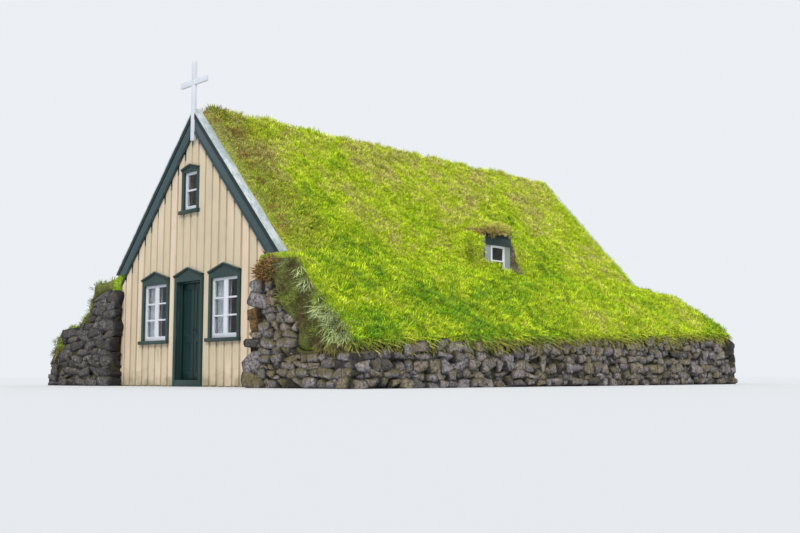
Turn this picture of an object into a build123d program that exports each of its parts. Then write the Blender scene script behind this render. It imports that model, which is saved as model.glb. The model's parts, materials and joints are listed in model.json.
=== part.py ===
from build123d import *
import math
import os

# A small turf church: timber gables between thick stone and turf side walls,
# under one steep grass roof that runs down over the walls almost to the ground.
# Millimetres. X is to the right facing the front gable, Y runs back along the
# ridge, Z is up. The origin is the middle of the plan at ground level.

# Timber building
gable_width = 4600
building_length = 9800
gable_thickness = 140
lining_thickness = 50
floor_top = 100

# Roof, measured square to the slope from the top edge of the bargeboards
roof_pitch = 47.5
eave_overhang = 140
verge_tip_z = 2027
bargeboard_depth = 250
bargeboard_thickness = 30
verge_overhang = 50
bargeboard_drop = 15
roof_board_thickness = 40
turf_above_verge = 90
turf_crown = [(0, 70), (140, 15), (280, 0)]
verge_cap_thickness = 30
verge_cap_width = 200
verge_cap_nosing = 15

# Side walls: a low stone wall with a turf bank on it up to the eave. Points are
# (distance out from the side of the timber building, height).
wall_foot_front = 2340
wall_foot_rear = 2080
base_top_front = (2280, 520)
base_top_rear = (2000, 920)
bank_front_right = [(2100, 730), (1830, 980), (1480, 1310), (1200, 1560), (1000, 1850), (300, 1950)]
bank_front_left = [(2180, 800), (1980, 1060), (1180, 1180), (960, 1600), (820, 1880), (300, 1960)]
bank_near_front = [(2080, 870), (1810, 1120), (1510, 1400), (1240, 1610), (970, 1810), (300, 2030)]
bank_rear = [(1860, 1110), (1600, 1380), (1380, 1530), (1160, 1660), (850, 1810), (300, 2040)]
pile_right = [(0, 0), (1200, 0), (1100, 900), (650, 1150), (380, 1640), (160, 1640), (0, 1640)]
pile_left = [(0, 0), (1980, 0), (1880, 1050), (1030, 1150), (780, 1760), (200, 1760), (160, 1640), (0, 1640)]
bank_below_tip = 57
bank_above_tip = 113
bank_full_height_from_end = 1350
wall_end_right = 600
wall_end_left = 280
wall_end_rear = 600
wall_end_lean = 190
wall_end_lean_height = 2100

# Windows and door of the front gable, which stand a little left of the ridge line
front_middle_x = -120
window_offset_x = 1040
window_width = 725
window_sill_z = 790
window_head_z = 1770
gable_window_width = 380
gable_window_sill_z = 2990
gable_window_head_z = 3650
frame_setback = 5
frame_depth = 60
bar_depth = 30
glass_thickness = 6
stile_width = 42
bottom_rail = 75
post_width = 110
bar_width = 28
casing_side = 75
casing_thickness = 35
casing_shoulder = 105
pediment_rise = 125
gable_pediment_rise = 70
gable_casing_shoulder = 60
moulding_height = 26
moulding_proud = 20
sill_height = 60
sill_proud = 45
sill_ear = 30

# Doorway and its two leaves
door_opening = 710
door_head_z = 1770
door_lining = 40
door_lining_stop = 20
threshold_top = 112
door_leaf_thickness = 40
door_gap = 5
leaf_meeting_gap = 10
leaf_stop_gap = 7
hinge_radius = 9
hinge_inset = 12
hinge_length = 60
hinge_heights = (380, 1500)
hinge_clearance = 5
hinge_knuckle_length = 25
hinge_pin_radius = 5
hinge_running_gap = 0.08
hinge_web = 5
hinge_strap = 60
panel_stile = 60
panel_depth = 8
door_panels_z = (230, 760, 860, 1660)
handle_z = 950
handle_radius = 16
handle_reach = 45

# Cross on the front apex
mast_width = 100
mast_depth = 50
mast_below_apex = 523
mast_above_apex = 850
cross_arm_above_apex = 494
cross_arm_height = 100
cross_half_span = 387

# Dormer in the right-hand slope
dormer_y = 150
dormer_half_width = 360
dormer_cheek = 40
dormer_top_above_tip = 743
dormer_board = 40
dormer_eave = 70
dormer_turf_front = 150
dormer_window_width = 400
dormer_sill_below_tip = 7
dormer_head_above_tip = 568
dormer_head_thickness = 25
dormer_well_margin = 50

half_gable = gable_width / 2
front_y = -building_length / 2
slope = math.tan(math.radians(roof_pitch))
per_cos = 1 / math.cos(math.radians(roof_pitch))
eave_x = half_gable + eave_overhang
verge_apex_z = verge_tip_z + slope * eave_x
beyond = 2 * building_length


def roof_z(offset, x):
    """Height of the line that lies offset square above the verge top, at x from the ridge."""
    return verge_apex_z + offset * per_cos - slope * x


def section(points, y):
    """A face in the plane at y, through (x, z) points."""
    return make_face(Polyline(*[(x, y, z) for x, z in points], close=True))


def run_y(points, y_low, y_high):
    """A bar of (x, z) section between two values of y."""
    return extrude(section(points, y_low), amount=y_high - y_low, dir=(0, 1, 0))


def run_x(points, x_low, x_high):
    """A bar of (y, z) section between two values of x."""
    face = make_face(Polyline(*[(x_low, y, z) for y, z in points], close=True))
    return extrude(face, amount=x_high - x_low, dir=(1, 0, 0))


def block(x_low, x_high, y_low, y_high, z_low, z_high):
    """A box between six coordinates."""
    size = (x_high - x_low, y_high - y_low, z_high - z_low)
    middle = ((x_low + x_high) / 2, (y_low + y_high) / 2, (z_low + z_high) / 2)
    return Pos(*middle) * Box(*size)


def to_left(shape):
    """The same piece on the other side of the ridge line."""
    return mirror(shape, about=Plane.YZ)


def to_rear(shape):
    """The same piece on the other gable."""
    return mirror(shape, about=Plane.XZ)


def turned_round(shape):
    """The same piece on the other gable and on the other side."""
    return Rot(0, 0, 180) * shape


underside = -(bargeboard_depth - bargeboard_drop)
board_top = underside + roof_board_thickness
verge_y = front_y - verge_overhang
bargeboard_y = verge_y - bargeboard_thickness
wall_inner_y = front_y + gable_thickness

pieces = {}


# Floor and inner side walls
def floor():
    inside = half_gable - lining_thickness
    return block(-inside, inside, wall_inner_y, -wall_inner_y, 0, floor_top)


def side_lining():
    inner = half_gable - lining_thickness
    points = [
        (inner, 0),
        (half_gable, 0),
        (half_gable, roof_z(underside, half_gable)),
        (inner, roof_z(underside, inner)),
    ]
    return run_y(points, wall_inner_y, -wall_inner_y)


pieces["floor"] = floor()
pieces["side_lining_right"] = side_lining()
pieces["side_lining_left"] = to_left(side_lining())


# Gable walls, with the window holes cut through
doorway_half = door_opening / 2 + door_lining
wall_split_z = door_head_z + door_lining


def window_hole(x, width, sill_z, head_z):
    return block(x - width / 2, x + width / 2, front_y - 1, wall_inner_y + 1, sill_z, head_z)


def front_wall_side(side):
    """The wall between the doorway and one corner; side is 1 for right and -1 for left."""
    edges = sorted((front_middle_x + side * doorway_half, side * half_gable))
    wall = block(*edges, front_y, wall_inner_y, 0, wall_split_z)
    x = front_middle_x + side * window_offset_x
    return wall - window_hole(x, window_width, window_sill_z, window_head_z)


def gable_outline(foot_z):
    eave_z = roof_z(underside, half_gable)
    apex = (0, roof_z(underside, 0))
    return [(-half_gable, foot_z), (half_gable, foot_z), (half_gable, eave_z), apex, (-half_gable, eave_z)]


def front_wall_top():
    wall = run_y(gable_outline(wall_split_z), front_y, wall_inner_y)
    return wall - window_hole(front_middle_x, gable_window_width, gable_window_sill_z, gable_window_head_z)


def rear_wall():
    wall = run_y(gable_outline(0), front_y, wall_inner_y)
    for side in (-1, 1):
        wall -= window_hole(side * window_offset_x, window_width, window_sill_z, window_head_z)
    return to_rear(wall)


pieces["front_wall_right"] = front_wall_side(1)
pieces["front_wall_left"] = front_wall_side(-1)
pieces["front_wall_top"] = front_wall_top()
pieces["rear_wall"] = rear_wall()


# Roof boards and the turf on them
dormer_top_z = verge_tip_z + dormer_top_above_tip
dormer_back_x = (roof_z(board_top, 0) - dormer_top_z) / slope
dormer_low_y = dormer_y - dormer_half_width
dormer_high_y = dormer_y + dormer_half_width


def roof_boards():
    points = [
        (0, roof_z(underside, 0)),
        (eave_x, roof_z(underside, eave_x)),
        (eave_x, roof_z(board_top, eave_x)),
        (0, roof_z(board_top, 0)),
    ]
    return run_y(points, verge_y, -verge_y)


def turf_slab(top_points, y_low, y_high):
    """One slope of turf from the ridge to the eave; top_points run up from the eave."""
    points = [(0, roof_z(board_top, 0)), (eave_x, roof_z(board_top, eave_x))] + top_points
    return run_y(points, y_low, y_high)


def turf_roof():
    """Full thickness with a rounded crown between the caps, and thinner under the caps."""
    capped_y = bargeboard_y + verge_cap_width
    under_cap = [(eave_x, roof_z(0, eave_x)), (0, roof_z(0, 0))]
    crown = [(x, roof_z(turf_above_verge, x) - drop) for x, drop in reversed(turf_crown)]
    grown = [(eave_x, roof_z(turf_above_verge, eave_x))] + crown
    return turf_slab(under_cap, verge_y, -verge_y) + turf_slab(grown, capped_y, -capped_y)


def fields_round(shape, x_low, x_high, y_low, y_high):
    """The slope without one gap, in the fields in front, behind, above and below it."""
    fields = [
        block(0, beyond, -beyond, y_low, 0, beyond),
        block(0, beyond, y_high, beyond, 0, beyond),
        block(0, x_low, y_low, y_high, 0, beyond),
    ]
    if x_high < eave_x:
        fields.append(block(x_high, beyond, y_low, y_high, 0, beyond))
    return Compound([shape & field for field in fields])


def roof_boards_with_well():
    """The shaft from the room up to the dormer window goes through the boards."""
    x_low = dormer_back_x + dormer_well_margin
    x_high = eave_x - dormer_board - dormer_well_margin
    return fields_round(roof_boards(), x_low, x_high, dormer_low_y + dormer_cheek, dormer_high_y - dormer_cheek)


def turf_round_dormer():
    return fields_round(turf_roof(), dormer_back_x, eave_x, dormer_low_y, dormer_high_y)


pieces["roof_boards_left"] = to_left(roof_boards())
pieces["roof_boards_right"] = roof_boards_with_well()
pieces["turf_roof_left"] = to_left(turf_roof())
pieces["turf_roof_right"] = turf_round_dormer()


# Verges: a bargeboard on the face and a flat cap over the turf's edge
def bargeboard(inner_x):
    low = -bargeboard_depth
    foot_x = (verge_apex_z + low * per_cos - verge_tip_z) / slope
    points = [
        (inner_x, roof_z(low, inner_x)),
        (foot_x, verge_tip_z),
        (eave_x, verge_tip_z),
        (inner_x, roof_z(0, inner_x)),
    ]
    return run_y(points, bargeboard_y, verge_y)


def verge_cap(inner_x):
    points = [
        (inner_x, roof_z(0, inner_x)),
        (eave_x, roof_z(0, eave_x)),
        (eave_x, roof_z(verge_cap_thickness, eave_x)),
        (inner_x, roof_z(verge_cap_thickness, inner_x)),
    ]
    return run_y(points, bargeboard_y - verge_cap_nosing, bargeboard_y + verge_cap_width)


def verge_cap_at_mast():
    """The front cap runs up to the ridge behind the mast and stops beside it in front."""
    return verge_cap(0) - block(-mast_width, mast_width / 2, -beyond, verge_y, 0, beyond)


pieces["bargeboard_front_right"] = bargeboard(mast_width / 2)
pieces["bargeboard_front_left"] = to_left(bargeboard(mast_width / 2))
pieces["bargeboard_rear_right"] = to_rear(bargeboard(0))
pieces["bargeboard_rear_left"] = turned_round(bargeboard(0))
pieces["verge_cap_front_right"] = verge_cap_at_mast()
pieces["verge_cap_front_left"] = to_left(verge_cap_at_mast())
pieces["verge_cap_rear_right"] = to_rear(verge_cap(0))
pieces["verge_cap_rear_left"] = turned_round(verge_cap(0))


# Cross: a flat mast with the arm halved into its face
def cross():
    half_mast = mast_width / 2
    mast_foot_z = verge_apex_z - mast_below_apex
    mast_top_z = verge_apex_z + mast_above_apex
    cross_arm_z = verge_apex_z + cross_arm_above_apex
    mast = block(-half_mast, half_mast, verge_y - mast_depth, verge_y, mast_foot_z, mast_top_z)
    arm_low = cross_arm_z - cross_arm_height / 2
    arm_high = cross_arm_z + cross_arm_height / 2
    arm = block(-cross_half_span, cross_half_span, verge_y - mast_depth, verge_y, arm_low, arm_high)
    middle_y = verge_y - mast_depth / 2
    front_half = block(-half_mast, half_mast, verge_y - mast_depth, middle_y, arm_low, arm_high)
    back_half = block(-half_mast, half_mast, middle_y, verge_y, arm_low, arm_high)
    return mast - front_half, arm - back_half


pieces["cross_mast"], pieces["cross_arm"] = cross()


# Side walls
wall_rear_y = -front_y + wall_end_rear


def outward(points):
    """Points given from the side of the timber building, as x and z."""
    return [(half_gable + x, z) for x, z in points]


def between_wall_ends(front_reach):
    """Everything between the leaning end faces of a side wall."""
    front_foot_y = front_y - front_reach
    points = [
        (front_foot_y, 0),
        (wall_rear_y, 0),
        (wall_rear_y - wall_end_lean, wall_end_lean_height),
        (front_foot_y + wall_end_lean, wall_end_lean_height),
    ]
    return run_x(points, 0, beyond)


def base_section(y, foot, top):
    return section(outward([(0, 0), (foot, 0), top, (0, top[1])]), y)


def stone_base_block(front_reach):
    front = base_section(front_y - front_reach, wall_foot_front, base_top_front)
    rear = base_section(wall_rear_y, wall_foot_rear, base_top_rear)
    return loft([front, rear], ruled=True)


def bank_section(y, front_reach, outline, above_tip):
    """The bank's section at y, standing on the stone base's sloping top."""
    front_end_y = front_y - front_reach
    share = (y - front_end_y) / (wall_rear_y - front_end_y)
    base_x, base_z = [f + share * (r - f) for f, r in zip(base_top_front, base_top_rear)]
    eave_z = verge_tip_z + above_tip
    points = outward([(0, base_z), (base_x, base_z)] + outline)
    return section(points + [(eave_x, eave_z), (half_gable, eave_z)], y)


def bank_block(front_outline, front_reach):
    full_y = front_y - front_reach + bank_full_height_from_end
    sections = [
        bank_section(front_y - front_reach, front_reach, front_outline, -bank_below_tip),
        bank_section(full_y, front_reach, bank_near_front, bank_above_tip),
        bank_section(wall_rear_y, front_reach, bank_rear, bank_above_tip),
    ]
    return loft(sections, ruled=True)


def roof_clearance():
    """What the roof fills over the top of the side wall, verges included."""
    points = [
        (0, roof_z(underside, 0)),
        (eave_x, roof_z(underside, eave_x)),
        (eave_x, beyond),
        (0, beyond),
    ]
    return run_y(points, bargeboard_y - verge_cap_nosing, -bargeboard_y + verge_cap_nosing)


def side_wall(front_pile_points, bank_outline, front_reach):
    """Stone base, turf bank and the stone facings of both ends, all on the right."""
    within = between_wall_ends(front_reach)
    base = stone_base_block(front_reach)
    front_pile = (run_y(outward(front_pile_points), front_y - front_reach, front_y) & within) - base
    rear_pile = (run_y(outward(pile_right), -front_y, wall_rear_y) & within) - base
    bank = (bank_block(bank_outline, front_reach) & within) - roof_clearance() - front_pile - rear_pile
    return base & within, bank, front_pile, rear_pile


wall_nodes = ("stone_base", "turf_bank", "stone_end_front", "stone_end_rear")
right_wall = side_wall(pile_right, bank_front_right, wall_end_right)
left_wall = side_wall(pile_left, bank_front_left, wall_end_left)
for node, right_piece, left_piece in zip(wall_nodes, right_wall, left_wall):
    pieces[f"{node}_right"] = right_piece
    pieces[f"{node}_left"] = to_left(left_piece)


# Windows: a dark casing with a pediment and sill, a white frame and one pane
def casing_outline(x, width, foot_z, head_z, shoulder, rise):
    half = width / 2 + casing_side
    shoulder_z = head_z + shoulder
    return [
        (x - half, foot_z),
        (x + half, foot_z),
        (x + half, shoulder_z),
        (x, shoulder_z + rise),
        (x - half, shoulder_z),
    ]


def casing(x, width, foot_z, head_z, shoulder, rise):
    """Boards round an opening, with a raised moulding along the pediment."""
    outer = casing_outline(x, width, foot_z, head_z, shoulder, rise)
    hole = [
        (x - width / 2, foot_z - 1),
        (x + width / 2, foot_z - 1),
        (x + width / 2, head_z),
        (x - width / 2, head_z),
    ]
    face_y = front_y - casing_thickness
    boards = run_y(outer, face_y, front_y) - run_y(hole, face_y, front_y)
    half = width / 2 + casing_side
    shoulder_z = head_z + shoulder
    rake = [
        (x - half, shoulder_z),
        (x - half, shoulder_z - moulding_height),
        (x, shoulder_z + rise - moulding_height),
        (x + half, shoulder_z - moulding_height),
        (x + half, shoulder_z),
        (x, shoulder_z + rise),
    ]
    return boards + run_y(rake, face_y - moulding_proud, face_y)


def window_sill(x, width, sill_z):
    half = width / 2 + casing_side + sill_ear
    return block(x - half, x + half, front_y - casing_thickness - sill_proud, front_y, sill_z - sill_height, sill_z)


def window_casing(x, width, sill_z, head_z, shoulder, rise):
    return casing(x, width, sill_z, head_z, shoulder, rise) + window_sill(x, width, sill_z)


def window_frame(x, width, sill_z, head_z, rows, post):
    """Outer frame with glazing bars in its front half."""
    face_y = front_y + frame_setback
    left, right = x - width / 2, x + width / 2
    pane_left, pane_right = left + stile_width, right - stile_width
    pane_low, pane_high = sill_z + bottom_rail, head_z - stile_width
    frame = block(left, right, face_y, face_y + frame_depth, sill_z, head_z)
    frame -= block(pane_left, pane_right, face_y, face_y + frame_depth, pane_low, pane_high)
    if post:
        frame += block(x - post / 2, x + post / 2, face_y, face_y + bar_depth, pane_low, pane_high)
    for row in range(1, rows):
        z = pane_low + (pane_high - pane_low) * row / rows
        frame += block(pane_left, pane_right, face_y, face_y + bar_depth, z - bar_width / 2, z + bar_width / 2)
    return frame


def window_pane(x, width, sill_z, head_z):
    back_y = front_y + frame_setback + bar_depth
    left, right = x - width / 2 + stile_width, x + width / 2 - stile_width
    return block(left, right, back_y, back_y + glass_thickness, sill_z + bottom_rail, head_z - stile_width)


side_window = (window_offset_x, window_width, window_sill_z, window_head_z)
gable_window = (0, gable_window_width, gable_window_sill_z, gable_window_head_z)
side_casing = window_casing(*side_window, casing_shoulder, pediment_rise)
side_frame = window_frame(*side_window, 3, post_width)
side_pane = window_pane(*side_window)
gable_casing = window_casing(*gable_window, gable_casing_shoulder, gable_pediment_rise)
on_front = Pos(front_middle_x, 0, 0)
pieces["window_casing_right"] = on_front * side_casing
pieces["window_casing_left"] = on_front * to_left(side_casing)
pieces["window_casing_gable"] = on_front * gable_casing
pieces["window_frame_right"] = on_front * side_frame
pieces["window_frame_left"] = on_front * to_left(side_frame)
pieces["window_frame_gable"] = on_front * window_frame(*gable_window, 2, 0)
pieces["window_glass_right"] = on_front * side_pane
pieces["window_glass_left"] = on_front * to_left(side_pane)
pieces["window_glass_gable"] = on_front * window_pane(*gable_window)
pieces["rear_window_casings"] = Compound([to_rear(side_casing), turned_round(side_casing)])
pieces["rear_window_frames"] = Compound([to_rear(side_frame), turned_round(side_frame)])
pieces["rear_window_glass"] = Compound([to_rear(side_pane), turned_round(side_pane)])


# Doorway
def door_casing():
    return casing(0, door_opening, 0, door_head_z, casing_shoulder, pediment_rise)


def door_frame():
    """Jambs and head that line the hole, with a stop for the leaves to shut against."""
    half = door_opening / 2
    outer = block(-doorway_half, doorway_half, front_y, wall_inner_y, 0, wall_split_z)
    frame = outer - block(-half, half, front_y, wall_inner_y, -1, door_head_z)
    stop_y = wall_inner_y - door_leaf_thickness - leaf_stop_gap
    clear = half - door_lining_stop
    stop = block(-half, half, stop_y - door_lining_stop, stop_y, threshold_top, door_head_z)
    stop -= block(-clear, clear, stop_y - door_lining_stop, stop_y, 0, door_head_z - door_lining_stop)
    return frame + stop


def threshold():
    half = door_opening / 2
    return block(-half, half, front_y - casing_thickness, wall_inner_y, 0, threshold_top)


leaf_low_z = threshold_top + door_gap
leaf_high_z = door_head_z - door_gap
leaf_outer_x = door_opening / 2 - door_gap
leaf_inner_x = leaf_meeting_gap / 2
hinge_x = leaf_outer_x - hinge_inset
hinge_y = wall_inner_y + hinge_clearance + hinge_radius


def door_leaf():
    """Right-hand leaf with two sunk panels a side and hinge barrels."""
    face_y = wall_inner_y - door_leaf_thickness
    leaf = block(leaf_inner_x, leaf_outer_x, face_y, wall_inner_y, leaf_low_z, leaf_high_z)
    panel_left, panel_right = leaf_inner_x + panel_stile, leaf_outer_x - panel_stile
    for low, high in (door_panels_z[0:2], door_panels_z[2:4]):
        leaf -= block(panel_left, panel_right, face_y, face_y + panel_depth, low, high)
        leaf -= block(panel_left, panel_right, wall_inner_y - panel_depth, wall_inner_y, low, high)
    for z in hinge_heights:
        low, high = z - hinge_length / 2, z + hinge_length / 2
        leaf += block(hinge_x - hinge_strap, hinge_x, wall_inner_y, hinge_y, low, high)
        leaf += Pos(hinge_x, hinge_y, z) * Cylinder(hinge_radius, hinge_length)
        leaf -= Pos(hinge_x, hinge_y, z) * Cylinder(hinge_pin_radius + hinge_running_gap, hinge_length)
    return leaf


def hinge_on_frame(z):
    """A pin held by a knuckle above and below the leaf's barrel, webbed out to the frame."""
    reach = hinge_length / 2 + hinge_clearance
    hinge = Pos(hinge_x, hinge_y, z) * Cylinder(hinge_pin_radius, 2 * (reach + hinge_knuckle_length))
    foot_x = door_opening / 2 + 2
    for low in (z - reach - hinge_knuckle_length, z + reach):
        high = low + hinge_knuckle_length
        middle = (low + high) / 2
        hinge += Pos(hinge_x, hinge_y, middle) * Cylinder(hinge_radius, hinge_knuckle_length)
        hinge += block(hinge_x, doorway_half - hinge_web, hinge_y - hinge_web, hinge_y, low, high)
        hinge += block(foot_x, doorway_half - hinge_web, wall_inner_y, hinge_y, low, high)
    return hinge


def door_hinges():
    right = [hinge_on_frame(z) for z in hinge_heights]
    return Compound(right + [to_left(hinge) for hinge in right])


def knob():
    """A round knob on a short shank, on the right-hand leaf."""
    x = leaf_inner_x + panel_stile / 2
    face_y = wall_inner_y - door_leaf_thickness
    shank = Pos(x, face_y - handle_reach / 2, handle_z) * Rot(90, 0, 0) * Cylinder(handle_radius / 3, handle_reach)
    return shank + Pos(x, face_y - handle_reach, handle_z) * Sphere(handle_radius)


pieces["door_casing"] = on_front * door_casing()
pieces["door_frame"] = on_front * door_frame()
pieces["door_threshold"] = on_front * threshold()
pieces["door_leaf_right"] = on_front * door_leaf()
pieces["door_leaf_left"] = on_front * to_left(door_leaf())
pieces["door_knob"] = on_front * knob()
pieces["door_hinges"] = on_front * door_hinges()


# Dormer
dormer_sill_z = verge_tip_z - dormer_sill_below_tip
dormer_head_z = verge_tip_z + dormer_head_above_tip


def dormer_cheek_board():
    points = [
        (dormer_back_x, dormer_top_z),
        (eave_x - dormer_board, roof_z(board_top, eave_x - dormer_board)),
        (eave_x - dormer_board, dormer_top_z),
    ]
    return run_y(points, dormer_low_y, dormer_low_y + dormer_cheek)


def dormer_cheeks():
    low = dormer_cheek_board()
    high = Pos(0, 2 * dormer_half_width - dormer_cheek, 0) * low
    return Compound([low, high])


def dormer_casing():
    """Front board of the dormer, with the window hole."""
    back_x = eave_x - dormer_board
    points = [
        (back_x, roof_z(board_top, back_x)),
        (eave_x, roof_z(board_top, eave_x)),
        (eave_x, dormer_top_z),
        (back_x, dormer_top_z),
    ]
    front = run_y(points, dormer_low_y, dormer_high_y)
    half = dormer_window_width / 2
    return front - block(back_x, eave_x, dormer_y - half, dormer_y + half, dormer_sill_z, dormer_head_z)


def dormer_frame():
    half = dormer_window_width / 2
    left, right = dormer_y - half, dormer_y + half
    back_x = eave_x - dormer_board
    frame = block(back_x, eave_x, left, right, dormer_sill_z, dormer_head_z)
    low, high = dormer_sill_z + stile_width, dormer_head_z - stile_width
    frame -= block(back_x, eave_x, left + stile_width, right - stile_width, low, high)
    middle = (low + high) / 2
    bar_back_x = eave_x - bar_depth
    bar_low, bar_high = middle - bar_width / 2, middle + bar_width / 2
    return frame + block(bar_back_x, eave_x, left + stile_width, right - stile_width, bar_low, bar_high)


def dormer_glass():
    half = dormer_window_width / 2 - stile_width
    front_x = eave_x - bar_depth
    low, high = dormer_sill_z + stile_width, dormer_head_z - stile_width
    return block(front_x - glass_thickness, front_x, dormer_y - half, dormer_y + half, low, high)


def dormer_head():
    """Fascia board over the dormer window."""
    return block(
        eave_x, eave_x + dormer_head_thickness, dormer_low_y, dormer_high_y, dormer_head_z, dormer_top_z
    )


dormer_front_x = eave_x + dormer_eave


def dormer_roof():
    points = [
        (dormer_back_x, dormer_top_z),
        (dormer_front_x, dormer_top_z),
        (dormer_front_x, dormer_top_z + dormer_board),
        (dormer_back_x, dormer_top_z + dormer_board),
    ]
    return run_y(points, dormer_low_y, dormer_high_y)


def dormer_turf():
    """Turf over the little roof, running up into the main slope."""
    low_z = dormer_top_z + dormer_board
    crest_z = low_z + dormer_turf_front
    points = [
        (dormer_back_x, low_z),
        (dormer_front_x, low_z),
        (dormer_front_x, low_z + dormer_turf_front * 0.6),
        (dormer_front_x - dormer_eave, crest_z),
        (dormer_back_x, roof_z(turf_above_verge, dormer_back_x)),
    ]
    return run_y(points, dormer_low_y, dormer_high_y)


pieces["dormer_cheeks"] = dormer_cheeks()
pieces["dormer_casing"] = dormer_casing()
pieces["dormer_head"] = dormer_head()
pieces["dormer_window_frame"] = dormer_frame()
pieces["dormer_window_glass"] = dormer_glass()
pieces["dormer_roof"] = dormer_roof()
pieces["dormer_turf"] = dormer_turf()

os.makedirs("parts", exist_ok=True)
for name, shape in pieces.items():
    export_step(shape, f"parts/{name}.step")
    print(name, len(shape.solids()), "solids", round(shape.volume / 1e9, 4), "cubic metres")
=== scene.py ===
import json
import math
import random

import bpy
from mathutils import Matrix, Vector, noise

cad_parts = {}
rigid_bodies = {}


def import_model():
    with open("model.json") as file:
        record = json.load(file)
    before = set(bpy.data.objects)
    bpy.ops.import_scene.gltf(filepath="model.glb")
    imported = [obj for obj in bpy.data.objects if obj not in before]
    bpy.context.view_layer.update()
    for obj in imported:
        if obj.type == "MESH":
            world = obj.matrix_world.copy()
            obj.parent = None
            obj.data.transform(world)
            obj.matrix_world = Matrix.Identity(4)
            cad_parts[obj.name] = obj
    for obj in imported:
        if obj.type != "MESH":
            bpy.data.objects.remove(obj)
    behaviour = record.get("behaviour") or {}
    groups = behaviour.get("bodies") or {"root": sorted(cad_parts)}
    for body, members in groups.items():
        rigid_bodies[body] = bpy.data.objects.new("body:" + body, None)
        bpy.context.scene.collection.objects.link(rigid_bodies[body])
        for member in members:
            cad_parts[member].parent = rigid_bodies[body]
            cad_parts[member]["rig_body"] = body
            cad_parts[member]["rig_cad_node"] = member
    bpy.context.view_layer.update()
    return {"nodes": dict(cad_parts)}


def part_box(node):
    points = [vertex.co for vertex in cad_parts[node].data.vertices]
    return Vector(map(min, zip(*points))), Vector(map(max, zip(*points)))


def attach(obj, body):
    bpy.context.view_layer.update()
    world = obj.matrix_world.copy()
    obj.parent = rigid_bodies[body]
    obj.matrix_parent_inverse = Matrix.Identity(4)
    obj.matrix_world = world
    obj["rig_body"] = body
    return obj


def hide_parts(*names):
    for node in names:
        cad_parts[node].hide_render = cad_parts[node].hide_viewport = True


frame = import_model()
nodes = frame["nodes"]

# Sizes of the church, in metres, in the frame of the solids
front_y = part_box("front_wall_top")[0].y
rear_y = -front_y
gable_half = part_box("rear_wall")[1].x
front_middle_x = -0.12
roof_pitch = math.radians(47.5)
slope = math.tan(roof_pitch)
per_cos = 1 / math.cos(roof_pitch)
verge_apex_z = 4.690
verge_tip_z = 2.027
eave_x = 2.44
roof_underside = -0.235
cap_inner_y = 4.78
mast_half = 0.05
wall_foot = (4.64, 4.38)
wall_top_x = (4.58, 4.30)
wall_top_z = (0.52, 0.92)
wall_rear_y = 5.50
wall_front_y = {1: -5.50, -1: -5.18}
end_lean = 0.19 / 2.1
ground_z = 0.001
pile_width = {
    1: [(0.0, 1.20), (0.90, 1.10), (1.15, 0.65), (1.64, 0.38)],
    -1: [(0.0, 1.98), (1.05, 1.88), (1.15, 1.03), (1.76, 0.78)],
}


def between(pair, share):
    return pair[0] + (pair[1] - pair[0]) * share

def roof_z(offset, x):
    """Height of the line that lies offset square above the verge top, at x from the ridge."""
    return verge_apex_z + offset * per_cos - slope * abs(x)


# Handling pieces
def only(*pieces):
    bpy.ops.object.select_all(action="DESELECT")
    for piece in pieces:
        piece.select_set(True)
    bpy.context.view_layer.objects.active = pieces[0]


def open_up(piece):
    """Edit mode with all of the piece selected."""
    only(piece)
    bpy.ops.object.mode_set(mode="EDIT")
    bpy.ops.mesh.select_mode(type="VERT")
    bpy.ops.mesh.select_all(action="SELECT")


def close_up():
    bpy.ops.object.mode_set(mode="OBJECT")


def named(piece, name):
    piece.name = name
    piece.data.name = name
    return piece


def settled(piece):
    """The piece with its place in its mesh."""
    only(piece)
    bpy.ops.object.transform_apply(location=True, rotation=True, scale=True)
    return piece


def applied(piece, kind, **settings):
    only(piece)
    modifier = piece.modifiers.new(kind.lower(), kind)
    for key, value in settings.items():
        setattr(modifier, key, value)
    bpy.ops.object.modifier_apply(modifier=modifier.name)
    return piece


def joined(pieces, name):
    only(*pieces)
    if len(pieces) > 1:
        bpy.ops.object.join()
    return named(settled(bpy.context.object), name)


def copy_of(piece):
    made = piece.copy()
    made.data = piece.data.copy()
    bpy.context.scene.collection.objects.link(made)
    return made


def cut_away(piece, co, normal):
    """Cuts off what lies beyond the plane, on the side that the normal points to."""
    open_up(piece)
    bpy.ops.mesh.bisect(plane_co=co, plane_no=normal, use_fill=True, clear_outer=True)
    close_up()
    return piece


def plank(low, high, ease=0.003):
    """A sawn timber between two corners, with eased edges."""
    bpy.ops.object.select_all(action="DESELECT")
    middle = [(a + b) / 2 for a, b in zip(low, high)]
    size = [b - a for a, b in zip(low, high)]
    bpy.ops.mesh.primitive_cube_add(size=1, location=middle, scale=size)
    piece = settled(bpy.context.object)
    open_up(piece)
    bpy.ops.mesh.bevel(offset=ease, segments=1, affect="EDGES")
    close_up()
    return piece


def in_triangles(piece):
    open_up(piece)
    bpy.ops.mesh.quads_convert_to_tris(quad_method="BEAUTY", ngon_method="BEAUTY")
    close_up()
    return piece


def from_solid(node):
    """A copy of a solid with its triangles merged back into whole faces."""
    piece = copy_of(nodes[node])
    piece.parent = None
    piece.hide_render = False
    piece.hide_viewport = False
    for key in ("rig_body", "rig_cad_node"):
        del piece[key]
    open_up(piece)
    bpy.ops.mesh.customdata_custom_splitnormals_clear()
    bpy.ops.mesh.remove_doubles(threshold=0.00005)
    bpy.ops.mesh.dissolve_limited(angle_limit=math.radians(1))
    close_up()
    return piece


def finish(piece, body, slot, *paints, replaced=(), smooth=0):
    """Gives the piece its finish and its body, and hides the solids that it stands for."""
    if paints:
        piece.data.materials.clear()
        for paint in paints:
            piece.data.materials.append(paint)
    if smooth:
        only(piece)
        bpy.ops.object.shade_smooth_by_angle(angle=math.radians(smooth))
    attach(piece, body)
    if replaced:
        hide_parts(*replaced)
    return piece


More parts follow.
